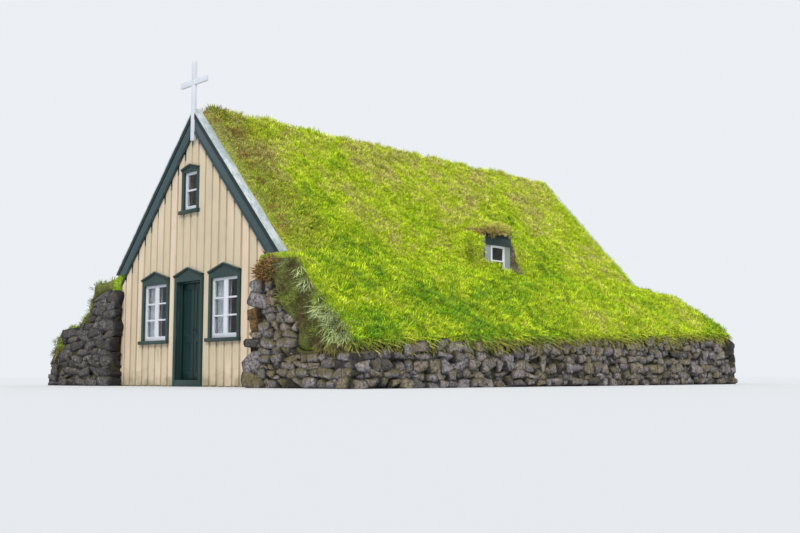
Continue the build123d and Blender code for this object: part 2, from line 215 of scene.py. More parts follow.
def eased(node, body, slot, paint, ease=0.003):
    """A worked timber: the solid with its sharp edges taken off."""
    piece = named(from_solid(node), node + "_worked")
    open_up(piece)
    bpy.ops.mesh.quads_convert_to_tris(ngon_method="BEAUTY")
    bpy.ops.mesh.tris_convert_to_quads(face_threshold=math.radians(1), shape_threshold=math.radians(60))
    close_up()
    applied(piece, "BEVEL", width=ease, segments=2, limit_method="ANGLE", angle_limit=math.radians(35))
    return finish(piece, body, slot, paint, replaced=[node], smooth=35)


# Node helpers for the finishes
def put(tree, kind, inputs, **settings):
    node = tree.nodes.new(kind)
    for key, value in settings.items():
        setattr(node, key, value)
    for key, value in inputs.items():
        if isinstance(value, bpy.types.NodeSocket):
            tree.links.new(value, node.inputs[key])
        else:
            node.inputs[key].default_value = value
    return node


def noise_of(tree, where, scale, detail=3.0, roughness=0.55):
    inputs = {"Vector": where, "Scale": scale, "Detail": detail, "Roughness": roughness}
    return put(tree, "ShaderNodeTexNoise", inputs).outputs[0]


def math_of(tree, operation, a, b):
    return put(tree, "ShaderNodeMath", {0: a, 1: b}, operation=operation).outputs[0]


def spread(tree, value, low, high, to_low=0.0, to_high=1.0):
    inputs = {"Value": value, "From Min": low, "From Max": high, "To Min": to_low, "To Max": to_high}
    return put(tree, "ShaderNodeMapRange", inputs).outputs[0]


def mixed(tree, share, first, second, blend="MIX"):
    inputs = {0: share, 6: first, 7: second}
    return put(tree, "ShaderNodeMix", inputs, data_type="RGBA", blend_type=blend).outputs[2]


def colour(red, green, blue):
    return (red, green, blue, 1.0)


def object_place(tree):
    return put(tree, "ShaderNodeTexCoord", {}).outputs["Object"]


def attribute_of(tree, name):
    return put(tree, "ShaderNodeAttribute", {}, attribute_name=name).outputs["Fac"]


def effect(name, inputs, outputs):
    """An empty node group with its sockets."""
    tree = bpy.data.node_groups.new(name, "ShaderNodeTree")
    for socket, kind, value in inputs:
        tree.interface.new_socket(socket, in_out="INPUT", socket_type=kind).default_value = value
    for socket, kind in outputs:
        tree.interface.new_socket(socket, in_out="OUTPUT", socket_type=kind)
    return tree, tree.nodes.new("NodeGroupInput").outputs, tree.nodes.new("NodeGroupOutput").inputs


def use(tree, group, inputs):
    node = tree.nodes.new("ShaderNodeGroup")
    node.node_tree = group
    for key, value in inputs.items():
        if isinstance(value, bpy.types.NodeSocket):
            tree.links.new(value, node.inputs[key])
        else:
            node.inputs[key].default_value = value
    return node.outputs


def wood_weathering():
    """Grain along a board, brush marks, and worn places that show bare or chalky wood."""
    tree, given, out = effect(
        "wood weathering",
        [
            ("Colour", "NodeSocketColor", colour(0.5, 0.5, 0.5)),
            ("Worn", "NodeSocketColor", colour(0.5, 0.5, 0.5)),
            ("Stretch", "NodeSocketVector", (1.0, 1.0, 1.0)),
            ("Wear", "NodeSocketFloat", 0.3),
        ],
        [("Colour", "NodeSocketColor"), ("Worn", "NodeSocketFloat"), ("Height", "NodeSocketFloat")],
    )
    place = object_place(tree)
    along = put(tree, "ShaderNodeVectorMath", {0: place, 1: given["Stretch"]}, operation="MULTIPLY").outputs[0]
    grain = noise_of(tree, along, 34.0, 4.0, 0.6)
    fine_grain = noise_of(tree, along, 120.0, 2.0)
    patches = noise_of(tree, place, 1.7, 4.0, 0.6)
    both = math_of(tree, "ADD", math_of(tree, "MULTIPLY", grain, 0.55), math_of(tree, "MULTIPLY", patches, 0.6))
    edge = math_of(tree, "SUBTRACT", 0.82, math_of(tree, "MULTIPLY", given["Wear"], 0.5))
    worn = spread(tree, math_of(tree, "SUBTRACT", both, edge), 0.0, 0.16)
    shade = spread(tree, both, 0.35, 0.8, 0.86, 1.1)
    toned = put(tree, "ShaderNodeVectorMath", {0: given["Colour"], "Scale": shade}, operation="SCALE").outputs[0]
    tree.links.new(mixed(tree, worn, toned, given["Worn"]), out["Colour"])
    tree.links.new(worn, out["Worn"])
    height = math_of(tree, "SUBTRACT", math_of(tree, "MULTIPLY", grain, 0.7), math_of(tree, "MULTIPLY", worn, 0.35))
    tree.links.new(math_of(tree, "ADD", height, math_of(tree, "MULTIPLY", fine_grain, 0.2)), out["Height"])
    return tree


def low_moss():
    """Green and brown growth that gathers on upward faces and in damp patches."""
    tree, given, out = effect(
        "moss and lichen",
        [
            ("Colour", "NodeSocketColor", colour(0.3, 0.3, 0.3)),
            ("Moss", "NodeSocketColor", colour(0.2, 0.25, 0.05)),
            ("Amount", "NodeSocketFloat", 0.5),
            ("Scale", "NodeSocketFloat", 4.0),
        ],
        [("Colour", "NodeSocketColor"), ("Mask", "NodeSocketFloat")],
    )
    place = object_place(tree)
    normal = put(tree, "ShaderNodeNewGeometry", {}).outputs["Normal"]
    upward = put(tree, "ShaderNodeSeparateXYZ", {0: normal}).outputs[2]
    patches = noise_of(tree, place, given["Scale"], 5.0, 0.65)
    rising = math_of(tree, "ADD", math_of(tree, "MULTIPLY", upward, 0.28), patches)
    level = math_of(tree, "SUBTRACT", rising, math_of(tree, "SUBTRACT", 1.0, given["Amount"]))
    mask = spread(tree, level, -0.02, 0.22, 0.0, 0.88)
    shade = noise_of(tree, place, 30.0, 3.0)
    lit = put(
        tree, "ShaderNodeVectorMath", {0: given["Moss"], "Scale": spread(tree, shade, 0.3, 0.7, 0.55, 1.35)}, operation="SCALE"
    ).outputs[0]
    tree.links.new(mixed(tree, mask, given["Colour"], lit), out["Colour"])
    tree.links.new(mask, out["Mask"])
    return tree


weathering = wood_weathering()
moss = low_moss()

upright_grain = (1.0, 1.0, 0.06)
level_grain = (0.08, 1.0, 1.0)
deep_grain = (1.0, 0.08, 1.0)


def surface(name, roughness, metallic=0.0):
    material = bpy.data.materials.new(name)
    material.use_nodes = True
    shader = material.node_tree.nodes["Principled BSDF"]
    shader.inputs["Roughness"].default_value = roughness
    shader.inputs["Metallic"].default_value = metallic
    return material, material.node_tree, shader


def feed(tree, shader, colour_from=None, rough_from=None, height=None, depth=0.001):
    if colour_from is not None:
        tree.links.new(colour_from, shader.inputs["Base Color"])
    if rough_from is not None:
        tree.links.new(rough_from, shader.inputs["Roughness"])
    if height is not None:
        bump = put(tree, "ShaderNodeBump", {"Height": height, "Distance": depth, "Strength": 1.0})
        tree.links.new(bump.outputs[0], shader.inputs["Normal"])


def painted(name, paint, worn, stretch, wear, roughness, depth=0.0012):
    """Oil paint on wood, dulled and thinned by weather."""
    material, tree, shader = surface(name, roughness)
    shader.inputs["Specular IOR Level"].default_value = 0.28
    look = use(tree, weathering, {"Colour": paint, "Worn": worn, "Stretch": stretch, "Wear": wear})
    dull = spread(tree, look["Worn"], 0.0, 1.0, roughness, min(roughness + 0.3, 0.95))
    feed(tree, shader, look["Colour"], dull, look["Height"], depth)
    return material


# The sills: middle, half width, underside, and -1 for the front or 1 for the rear
sill_places = [(-1.16, 0.45, 0.73, -1), (0.92, 0.45, 0.73, -1), (-0.12, 0.28, 2.93, -1), (-1.04, 0.45, 0.73, 1), (1.04, 0.45, 0.73, 1)]


def below_sills(tree, place):
    """A mask that fades out downwards from the underside of each window sill."""
    parts = put(tree, "ShaderNodeSeparateXYZ", {0: place}).outputs
    mask = 0.0
    for x, half, sill_z, end in sill_places:
        aside = math_of(tree, "ABSOLUTE", math_of(tree, "SUBTRACT", parts[0], x), 0.0)
        inside = spread(tree, aside, half - 0.02, half, 1.0, 0.0)
        fading = spread(tree, parts[2], sill_z - 0.32, sill_z, 0.0, 1.0)
        under = spread(tree, parts[2], sill_z + 0.01, sill_z + 0.03, 1.0, 0.0)
        here = spread(tree, parts[1], 0.0, end, 0.0, 1.0)
        part = math_of(tree, "MULTIPLY", math_of(tree, "MULTIPLY", inside, here), math_of(tree, "MULTIPLY", fading, under))
        mask = math_of(tree, "ADD", mask, part)
    return mask


def cream_boards():
    """Each board a little different in tone, the sunk under boards brown, partly as painted shade in their recesses,
    greenish near the ground and streaked under the sills.
    """
    material, tree, shader = surface("cream board paint", 0.62)
    tone = attribute_of(tree, "board_tone")
    plain = mixed(tree, tone, colour(0.66, 0.56, 0.40), colour(0.80, 0.69, 0.51))
    pink = mixed(tree, spread(tree, tone, 0.35, 1.0), plain, colour(0.78, 0.63, 0.48))
    # The under boards, sunk between the over boards, take a brown tone: partly painted shade in the recesses
    sunk = mixed(tree, spread(tree, tone, -1.0, 0.0, 1.0, 0.0), pink, colour(0.40, 0.28, 0.15))
    look = use(
        tree,
        weathering,
        {"Colour": sunk, "Worn": colour(0.52, 0.43, 0.30), "Stretch": upright_grain, "Wear": 0.34},
    )
    place = object_place(tree)
    height = put(tree, "ShaderNodeSeparateXYZ", {0: place}).outputs[2]
    ragged = math_of(tree, "ADD", height, spread(tree, noise_of(tree, place, 6.0), 0.3, 0.7, -0.12, 0.12))
    damp = spread(tree, ragged, 0.0, 0.26, 0.65, 0.0)
    run = put(tree, "ShaderNodeVectorMath", {0: place, 1: (1.0, 1.0, 0.05)}, operation="MULTIPLY").outputs[0]
    thin = spread(tree, noise_of(tree, run, 26.0, 2.0), 0.48, 0.66, 0.0, 0.6)
    streaks = math_of(tree, "MULTIPLY", thin, below_sills(tree, place))
    stained = mixed(tree, streaks, look["Colour"], colour(0.20, 0.17, 0.10))
    aged = mixed(tree, damp, stained, colour(0.22, 0.20, 0.11))
    feed(tree, shader, aged, spread(tree, look["Worn"], 0.0, 1.0, 0.6, 0.85), look["Height"], 0.0015)
    return material


def wall_timber():
    """Seen as cream outside, in the gaps between boards, and as pine inside."""
    material, tree, shader = surface("gable wall timber", 0.7)
    place = object_place(tree)
    depth = put(tree, "ShaderNodeMath", {0: put(tree, "ShaderNodeSeparateXYZ", {0: place}).outputs[1]}, operation="ABSOLUTE")
    outside = spread(tree, depth.outputs[0], 4.85, 4.86)
    base = mixed(tree, outside, colour(0.42, 0.27, 0.14), colour(0.38, 0.31, 0.20))
    look = use(tree, weathering, {"Colour": base, "Worn": colour(0.30, 0.20, 0.11), "Stretch": upright_grain, "Wear": 0.3})
    feed(tree, shader, look["Colour"], None, look["Height"], 0.0015)
    return material


def planked(name, light, dark, across, width, stretch, roughness, painted_beyond=0.0):
    """Bare boards side by side, with a groove at each joint; outside the gables they are painted dark green."""
    material, tree, shader = surface(name, roughness)
    place = object_place(tree)
    parts = put(tree, "ShaderNodeSeparateXYZ", {0: place}).outputs
    count = math_of(tree, "DIVIDE", parts[across], width)
    number = put(tree, "ShaderNodeMath", {0: count}, operation="FLOOR").outputs[0]
    within = put(tree, "ShaderNodeMath", {0: count}, operation="FRACT").outputs[0]
    tone = put(tree, "ShaderNodeTexWhiteNoise", {"W": number}, noise_dimensions="1D").outputs["Value"]
    base = mixed(tree, tone, dark, light)
    look = use(tree, weathering, {"Colour": base, "Worn": dark, "Stretch": stretch, "Wear": 0.3})
    edge = math_of(tree, "ABSOLUTE", math_of(tree, "SUBTRACT", within, 0.5), 0.0)
    groove = spread(tree, edge, 0.46, 0.495)
    shown = mixed(tree, groove, look["Colour"], colour(0.03, 0.02, 0.012))
    if painted_beyond:
        depth = math_of(tree, "ABSOLUTE", parts[1], 0.0)
        shown = mixed(tree, spread(tree, depth, painted_beyond, painted_beyond + 0.01), shown, colour(0.016, 0.034, 0.033))
    height = math_of(tree, "SUBTRACT", look["Height"], math_of(tree, "MULTIPLY", groove, 2.0))
    feed(tree, shader, shown, None, height, 0.002)
    return material


def window_glass():
    material, tree, shader = surface("old window glass", 0.03)
    shader.inputs["Transmission Weight"].default_value = 1.0
    shader.inputs["IOR"].default_value = 1.2
    shader.inputs["Specular IOR Level"].default_value = 0.3
    place = object_place(tree)
    feed(
        tree,
        shader,
        mixed(tree, spread(tree, noise_of(tree, place, 5.0), 0.4, 0.7), colour(0.86, 0.90, 0.92), colour(0.74, 0.79, 0.80)),
        spread(tree, noise_of(tree, place, 9.0), 0.45, 0.75, 0.02, 0.14),
        noise_of(tree, place, 2.5, 1.0),
        0.004,
    )
    return material


def worn_iron():
    material, tree, shader = surface("worn black iron", 0.45, 0.9)
    place = object_place(tree)
    rust = spread(tree, noise_of(tree, place, 60.0, 4.0), 0.52, 0.68)
    base = mixed(tree, rust, colour(0.045, 0.045, 0.045), colour(0.13, 0.055, 0.025))
    feed(tree, shader, base, spread(tree, rust, 0.0, 1.0, 0.38, 0.8), noise_of(tree, place, 150.0), 0.0006)
    return material


def net_cloth():
    """Cotton net, half open to the light, denser in its folds."""
    material, tree, shader = surface("net curtain", 0.9)
    place = object_place(tree)
    weave = noise_of(tree, place, 240.0, 1.0)
    lace = noise_of(tree, place, 26.0, 2.0)
    open_share = math_of(tree, "ADD", math_of(tree, "MULTIPLY", weave, 0.3), math_of(tree, "MULTIPLY", lace, 0.5))
    tree.links.new(spread(tree, open_share, 0.3, 0.5, 0.72, 0.95), shader.inputs["Alpha"])
    base = mixed(tree, lace, colour(0.62, 0.64, 0.68), colour(0.82, 0.83, 0.86))
    feed(tree, shader, base, None, weave, 0.0008)
    return material


def damp_earth():
    """Packed soil and small stones, seen in the joints between the laid stones, kept near black, partly as painted
    shade deep in the joints.
    """
    material, tree, shader = surface("packed earth", 0.95)
    place = object_place(tree)
    base = mixed(tree, noise_of(tree, place, 14.0, 5.0), colour(0.010, 0.008, 0.006), colour(0.055, 0.042, 0.026))
    look = use(tree, moss, {"Colour": base, "Moss": colour(0.10, 0.10, 0.022), "Amount": 0.50, "Scale": 5.0})
    feed(tree, shader, look["Colour"], None, noise_of(tree, place, 22.0, 6.0, 0.7), 0.03)
    return material


def laid_stone():
    """Basalt from purple-grey to brown, with pale lichen, moss on top, painted shade in the joints and a few blocks of
    peat.
    """
    material, tree, shader = surface("basalt with lichen", 0.88)
    place = object_place(tree)
    tone = attribute_of(tree, "stone_tone")
    peat = attribute_of(tree, "peat")
    grey = mixed(tree, spread(tree, tone, 0.0, 0.5), colour(0.075, 0.068, 0.067), colour(0.42, 0.375, 0.395))
    body = mixed(tree, spread(tree, tone, 0.5, 0.9), grey, colour(0.38, 0.31, 0.21))
    pits = noise_of(tree, place, 24.0, 6.0, 0.7)
    stains = noise_of(tree, place, 7.0, 5.0, 0.65)
    dark = math_of(tree, "MINIMUM", spread(tree, pits, 0.39, 0.57, 0.16, 1.0), spread(tree, stains, 0.34, 0.50, 0.30, 1.0))
    mottled = mixed(tree, dark, colour(0.022, 0.019, 0.017), body)
    spots = spread(tree, noise_of(tree, place, 11.0, 5.0, 0.7), 0.57, 0.65, 0.0, 0.85)
    # Less pale lichen on the darkest stones, among them the left front end, which is darkened as painted shade
    lichen = math_of(tree, "MULTIPLY", spots, spread(tree, tone, 0.0, 0.3, 0.35, 1.0))
    pale = mixed(tree, lichen, mottled, colour(0.52, 0.50, 0.45))
    amount = math_of(tree, "ADD", 0.36, math_of(tree, "MULTIPLY", attribute_of(tree, "mossy"), 0.26))
    look = use(tree, moss, {"Colour": pale, "Moss": colour(0.165, 0.140, 0.058), "Amount": amount, "Scale": 8.0})
    rust = mixed(tree, spread(tree, pits, 0.35, 0.65), colour(0.040, 0.018, 0.007), colour(0.27, 0.155, 0.05))
    laid_in = mixed(tree, peat, look["Colour"], rust)
    # Painted shade: each stone is darker towards its edges and back, where it lies deep in the joints
    ragged = spread(tree, stains, 0.3, 0.7, -0.45, 0.45)
    unshaded_share = spread(tree, math_of(tree, "ADD", attribute_of(tree, "joint_shade"), ragged), 0.0, 1.1, 1.0, 0.16)
    joint_shaded = put(tree, "ShaderNodeVectorMath", {0: laid_in, "Scale": unshaded_share}, operation="SCALE").outputs[0]
    feed(tree, shader, joint_shaded, None, math_of(tree, "ADD", pits, stains), 0.035)
    return material


def lower_edge(tree, parts, flecks):
    """A ragged mask along the foot of the turf, where it lies on the stone base."""
    share = spread(tree, parts[1], wall_front_y[1], wall_rear_y)
    foot = spread(tree, share, 0.0, 1.0, wall_top_z[0], wall_top_z[1])
    rise = math_of(tree, "SUBTRACT", parts[2], foot)
    ragged = math_of(tree, "SUBTRACT", rise, spread(tree, flecks, 0.08, 0.20, -0.06, 0.10))
    outer = spread(tree, math_of(tree, "ABSOLUTE", parts[0], 0.0), 3.7, 4.1, 0.0, 0.8)
    return math_of(tree, "MULTIPLY", spread(tree, ragged, 0.0, 0.14, 1.0, 0.0), outer)


def turf_tones(tree, place):
    """Fresh green low down and near the front, drier up the slope and brown behind the verge, in drifts and flecks."""
    parts = put(tree, "ShaderNodeSeparateXYZ", {0: place}).outputs
    drifts = math_of(tree, "MULTIPLY", noise_of(tree, place, 0.8, 4.0, 0.6), 0.40)
    patches = math_of(tree, "MULTIPLY", noise_of(tree, place, 3.6, 3.0, 0.6), 0.32)
    flecks = math_of(tree, "MULTIPLY", noise_of(tree, place, 13.0, 2.0, 0.6), 0.28)
    all_three = math_of(tree, "ADD", math_of(tree, "ADD", drifts, patches), flecks)
    rise = spread(tree, parts[2], 0.6, 4.6, -0.055, 0.045)
    run = spread(tree, parts[1], -5.0, 5.0, -0.015, 0.025)
    verge = math_of(
        tree, "MULTIPLY", spread(tree, parts[1], -4.6, -3.6, 1.0, 0.0), spread(tree, parts[2], 1.9, 2.6)
    )
    drier = math_of(tree, "MULTIPLY", verge, 0.035)
    dry = math_of(tree, "ADD", math_of(tree, "ADD", all_three, rise), math_of(tree, "ADD", run, drier))
    fresh = mixed(tree, spread(tree, dry, 0.38, 0.50), colour(0.26, 0.54, 0.006), colour(0.80, 0.97, 0.020))
    straw = mixed(tree, spread(tree, dry, 0.51, 0.60), fresh, colour(0.86, 0.83, 0.22))
    dead = mixed(tree, spread(tree, dry, 0.60, 0.66, 0.0, 0.8), straw, colour(0.50, 0.33, 0.10))
    blotches = noise_of(tree, place, 3.4, 3.0, 0.6)
    dulled = mixed(tree, math_of(tree, "MULTIPLY", verge, 0.55), dead, colour(0.36, 0.38, 0.08))
    rusty = math_of(tree, "MULTIPLY", verge, spread(tree, blotches, 0.52, 0.60, 0.0, 0.65))
    lawn = mixed(tree, rusty, dulled, colour(0.44, 0.22, 0.055))
    # Painted shade on the front end faces of the banks and over the left front end: olive, with brighter green blotches
    olive = mixed(tree, spread(tree, blotches, 0.34, 0.52), colour(0.13, 0.085, 0.035), colour(0.24, 0.27, 0.055))
    shaded = mixed(tree, spread(tree, blotches, 0.54, 0.64), olive, colour(0.46, 0.64, 0.04))
    dressed = mixed(tree, attribute_of(tree, "end_face_shade"), lawn, shaded)
    footed = mixed(tree, lower_edge(tree, parts, flecks), dressed, colour(0.30, 0.235, 0.075))
    return mixed(tree, attribute_of(tree, "dead_edge"), footed, colour(0.64, 0.47, 0.15))


def sod_finish():
    """The mat under the blades: darker, with roots and dead leaves, and bare soil beside the dormer, some of it painted
    shade in the gaps beside its casing.
    """
    material, tree, shader = surface("grass sod", 0.95)
    place = object_place(tree)
    tones = turf_tones(tree, place)
    speckle = noise_of(tree, place, 34.0, 5.0, 0.75)
    base = mixed(tree, spread(tree, speckle, 0.34, 0.58), colour(0.07, 0.10, 0.010), tones)
    soil = mixed(tree, spread(tree, speckle, 0.38, 0.60), colour(0.045, 0.036, 0.026), colour(0.36, 0.29, 0.21))
    feed(tree, shader, mixed(tree, attribute_of(tree, "bare_soil_and_shade"), base, soil), None, speckle, 0.05)
    return material


def grass_finish(name, tones=None):
    """Blades: shaded at the root, bright at the tip, each tuft a little different."""
    material, tree, shader = surface(name, 0.7)
    place = object_place(tree)
    along = attribute_of(tree, "blade_height")
    tint = attribute_of(tree, "tuft_tone")
    tones = tones or turf_tones(tree, place)
    if not isinstance(tones, bpy.types.NodeSocket):
        tones = mixed(tree, noise_of(tree, place, 7.0, 3.0), *tones)
    lit = put(tree, "ShaderNodeVectorMath", {0: tones, "Scale": spread(tree, tint, 0.0, 1.0, 0.50, 1.58)}, operation="SCALE")
    root = put(tree, "ShaderNodeVectorMath", {0: lit.outputs[0], "Scale": 0.42}, operation="SCALE")
    feed(tree, shader, mixed(tree, spread(tree, along, 0.0, 0.75), root.outputs[0], lit.outputs[0]))
    return material


green_upright = painted(
    "bottle green paint", colour(0.020, 0.048, 0.044), colour(0.075, 0.100, 0.092), upright_grain, 0.34, 0.42
)
green_rake = painted("bottle green rake paint", colour(0.044, 0.080, 0.088), colour(0.12, 0.15, 0.16), level_grain, 0.3, 0.34)
moulding_paint = painted("rake moulding paint", colour(0.010, 0.024, 0.024), colour(0.04, 0.06, 0.06), level_grain, 0.3, 0.5)
# The beads get a lighter green than the door: partly wear, partly a painted highlight along them
bead_paint = painted("worn bead paint with painted highlight", colour(0.014, 0.046, 0.042), colour(0.05, 0.10, 0.09), level_grain, 0.4, 0.4)
door_green = painted("door paint", colour(0.006, 0.030, 0.028), colour(0.020, 0.055, 0.048), upright_grain, 0.24, 0.42)
drip_paint = painted("drip board paint", colour(0.12, 0.16, 0.15), colour(0.26, 0.29, 0.27), level_grain, 0.5, 0.6)
cap_paint = painted("verge cap paint", colour(0.44, 0.52, 0.54), colour(0.74, 0.78, 0.80), (0.3, 1.0, 0.3), 0.55, 0.5)
white_paint = painted("white paint", colour(0.72, 0.75, 0.82), colour(0.52, 0.54, 0.57), upright_grain, 0.2, 0.5)
# A brighter copy of the white paint, for the dormer window only: painted light
dormer_white_lit = painted("dormer white paint with painted light", colour(0.90, 0.91, 0.95), colour(0.62, 0.63, 0.64), upright_grain, 0.16, 0.5)
dormer_paint = painted("dormer grey paint", colour(0.36, 0.39, 0.39), colour(0.18, 0.19, 0.17), upright_grain, 0.42, 0.6)
cream_paint = cream_boards()
gable_timber = wall_timber()
floor_planks = planked("floor planks", colour(0.40, 0.26, 0.14), colour(0.26, 0.16, 0.08), 0, 0.14, deep_grain, 0.55)
wall_planks = planked("inner wall planks", colour(0.50, 0.34, 0.18), colour(0.36, 0.23, 0.11), 2, 0.13, deep_grain, 0.6)
roof_planks = planked(
    "roof planks", colour(0.46, 0.31, 0.16), colour(0.30, 0.19, 0.09), 2, 0.12, deep_grain, 0.65, painted_beyond=4.89
)
glass = window_glass()
iron = worn_iron()
net = net_cloth()
earth = damp_earth()
stone = laid_stone()
sod_mat = sod_finish()
grass_mat = grass_finish("roof grass")
straw_mat = grass_finish("dry straw", (colour(0.38, 0.54, 0.16), colour(0.84, 0.90, 0.52)))
tan_mat = grass_finish("tan dry grass", (colour(0.44, 0.28, 0.09), colour(0.95, 0.76, 0.28)))
rust_mat = grass_finish("dead brown grass", (colour(0.15, 0.065, 0.02), colour(0.46, 0.27, 0.09)))


def repaint(paint, *names):
    for name in names:
        mesh = nodes[name].data
        if not mesh.materials:
            mesh.materials.append(paint)
        for index in range(len(mesh.materials)):
            mesh.materials[index] = paint


repaint(gable_timber, "front_wall_right", "front_wall_left", "front_wall_top", "rear_wall")
repaint(floor_planks, "floor")
repaint(wall_planks, "side_lining_right", "side_lining_left")
repaint(roof_planks, "roof_boards_left", "roof_boards_right")
repaint(glass, "window_glass_right", "window_glass_left", "window_glass_gable", "rear_window_glass", "dormer_window_glass")
repaint(iron, "door_knob", "door_hinges")


# Painted joinery, with its edges eased
for node in ("window_casing_right", "window_casing_left", "window_casing_gable", "rear_window_casings", "door_casing"):
    eased(node, "root", "green_paint", green_upright)
eased("door_frame", "root", "green_paint", green_upright)
eased("door_threshold", "root", "green_paint", green_upright, 0.006)
for node in ("window_frame_right", "window_frame_left", "window_frame_gable", "rear_window_frames"):
    eased(node, "root", "white_paint", white_paint, 0.004)
eased("dormer_window_frame", "root", "white_paint", dormer_white_lit, 0.004)
for node in ("cross_mast", "cross_arm"):
    eased(node, "root", "white_paint", white_paint, 0.006)
for end in ("front", "rear"):
    for side in ("right", "left"):
        eased(f"bargeboard_{end}_{side}", "root", "green_paint", green_rake, 0.004)
        eased(f"verge_cap_{end}_{side}", "root", "verge_paint", cap_paint, 0.006)
for node in ("dormer_cheeks", "dormer_casing"):
    eased(node, "root", "verge_paint", dormer_paint, 0.004)
for node in ("dormer_head", "dormer_roof"):
    eased(node, "root", "green_paint", green_upright, 0.004)
eased("door_leaf_right", "right_leaf", "door_paint", door_green, 0.002)
eased("door_leaf_left", "left_leaf", "door_paint", door_green, 0.002)


# Beads round the sunk panels of the two leaves
leaf_face_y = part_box("door_leaf_right")[0].y
panel_across = (0.065, 0.290)
panel_heights = ((0.230, 0.760), (0.860, 1.660))
bead_width = 0.013


def panel_beads(side, low, high):
    left, right = sorted(front_middle_x + side * x for x in panel_across)
    near, far = leaf_face_y - 0.003, leaf_face_y + 0.0082
    return [
        plank((left, near, low), (left + bead_width, far, high), 0.003),
        plank((right - bead_width, near, low), (right, far, high), 0.003),
        plank((left, near, low), (right, far, low + bead_width), 0.003),
        plank((left, near, high - bead_width), (right, far, high), 0.003),
    ]


for side, side_name in ((1, "right"), (-1, "left")):
    beads = joined([bead for heights in panel_heights for bead in panel_beads(side, *heights)], f"door_beads_{side_name}")
    finish(beads, f"{side_name}_leaf", "door_paint", bead_paint, smooth=35)


# Drip boards over the pediments of the casings, each with a strip of painted shadow under it
def drip_board(x, width, shoulder_z, rise, over, near, far, low, high, ease):
    """Two sloping boards that meet over the middle of a casing; over is how far they pass its corners."""
    half = width / 2 + 0.075
    pitch = math.atan2(rise, half)
    boards = []
    for side in (1, -1):
        reach = (half + over) / math.cos(pitch)
        inner, outer = (-0.1, reach) if side > 0 else (-reach, 0.1)
        board = plank((inner, -far, low), (outer, -near, high), ease)
        board.rotation_euler.y = side * pitch
        board.location = (x, front_y, shoulder_z + rise)
        boards.append(cut_away(settled(board), (x, 0, 0), (-side, 0, 0)))
    return boards


side_drips = [(-1.04, 0.725, 1.875, 0.125), (1.04, 0.725, 1.875, 0.125)]
front_drips = [(front_middle_x + x, *rest) for x, *rest in side_drips]
front_drips += [(front_middle_x, 0.38, 3.71, 0.07), (front_middle_x, 0.71, 1.875, 0.125)]
# How far each kind passes the corners, its near and far face, its underside and top, and its eased edge
drip_kinds = {
    "drip_boards": (0.012, 0.031, 0.066, 0.0, 0.011, 0.003, drip_paint),
    # The pediment strips hang just under the drip boards in near-black paint: a painted shadow
    "pediment_strips": (0.001, 0.0552, 0.0605, -0.026, -0.0005, 0.001, moulding_paint),
}
for kind, (*shape, paint) in drip_kinds.items():
    for end, places in (("front", front_drips), ("rear", side_drips)):
        piece = joined([board for spot in places for board in drip_board(*spot, *shape)], f"{kind}_{end}")
        if end == "rear":
            piece.rotation_euler.z = math.pi
            settled(piece)
        finish(piece, "root", "green_paint", paint, smooth=35)


# Upright boards on both gables: narrow under boards, and wide boards over their joints
board_pitch = 0.209
board_joint_x = 0.12
over_board = 0.150
under_board_face = 0.006
over_board_back = 0.0065
over_board_face = 0.030
board_foot_z = 0.012


def board_tone(piece, tone):
    marks = piece.data.attributes.new("board_tone", "FLOAT", "POINT")
    marks.data.foreach_set("value", [tone] * len(piece.data.vertices))


def boards_across(chance):
    """One gable's boards, full height, on the front; each has its own width, thickness and tone."""
    boards = []
    first = math.floor((-gable_half - board_joint_x) / board_pitch)
    for number in range(first, first + 24):
        joint = board_joint_x + number * board_pitch
        middle = joint + board_pitch / 2 + chance.uniform(-0.003, 0.003)
        half = over_board / 2 + chance.uniform(-0.004, 0.004)
        face = over_board_face + chance.uniform(-0.002, 0.001)
        foot = board_foot_z + chance.uniform(0.0, 0.012)
        top = roof_z(roof_underside, 0)
        over = plank((middle - half, front_y - face, foot), (middle + half, front_y - over_board_back, top), 0.003)
        board_tone(over, chance.random())
        under = plank(
            (joint - 0.05, front_y - under_board_face, foot + 0.004), (joint + 0.05, front_y - 0.0005, top), 0.0015
        )
        # A negative tone gives the sunk under board its brown, partly painted shade
        board_tone(under, chance.uniform(-0.8, -0.3))
        boards += [over, under]
    return boards


def taken_out(piece, cutter):
    applied(piece, "BOOLEAN", operation="DIFFERENCE", solver="EXACT", object=cutter)
    bpy.data.objects.remove(cutter)


def opening_cutter(x, width, foot_z, head_z):
    return plank((x - width / 2 - 0.01, front_y - 0.1, foot_z), (x + width / 2 + 0.01, front_y + 0.1, head_z + 0.01), 0.0)


def cladding(name, casings, openings, seed, turned):
    piece = joined(boards_across(random.Random(seed)), name)
    if turned:
        piece.rotation_euler.z = math.pi
        settled(piece)
    for side in (1, -1):
        top = (0, 0, roof_z(roof_underside, 0) - 0.003)
        cut_away(piece, top, (side * math.sin(roof_pitch), 0, math.cos(roof_pitch)))
        cut_away(piece, (side * (gable_half - 0.004), 0, 0), (side, 0, 0))
    for node in casings:
        taken_out(piece, from_solid(node))
    for opening in openings:
        cutter = opening_cutter(*opening)
        if turned:
            cutter.rotation_euler.z = math.pi
            settled(cutter)
        taken_out(piece, cutter)
    return finish(piece, "root", "gable_boards", cream_paint, smooth=30)


side_windows = [(-1.04, 0.725, 0.76, 1.77), (1.04, 0.725, 0.76, 1.77)]
front_openings = [(front_middle_x + x, *rest) for x, *rest in side_windows]
front_openings += [(front_middle_x, 0.38, 2.96, 3.65), (front_middle_x, 0.71, -0.1, 1.77)]
front_casings = ("window_casing_right", "window_casing_left", "window_casing_gable", "door_casing")
cladding("cladding_front", front_casings, front_openings, 5, False)
cladding("cladding_rear", ("rear_window_casings",), side_windows, 8, True)


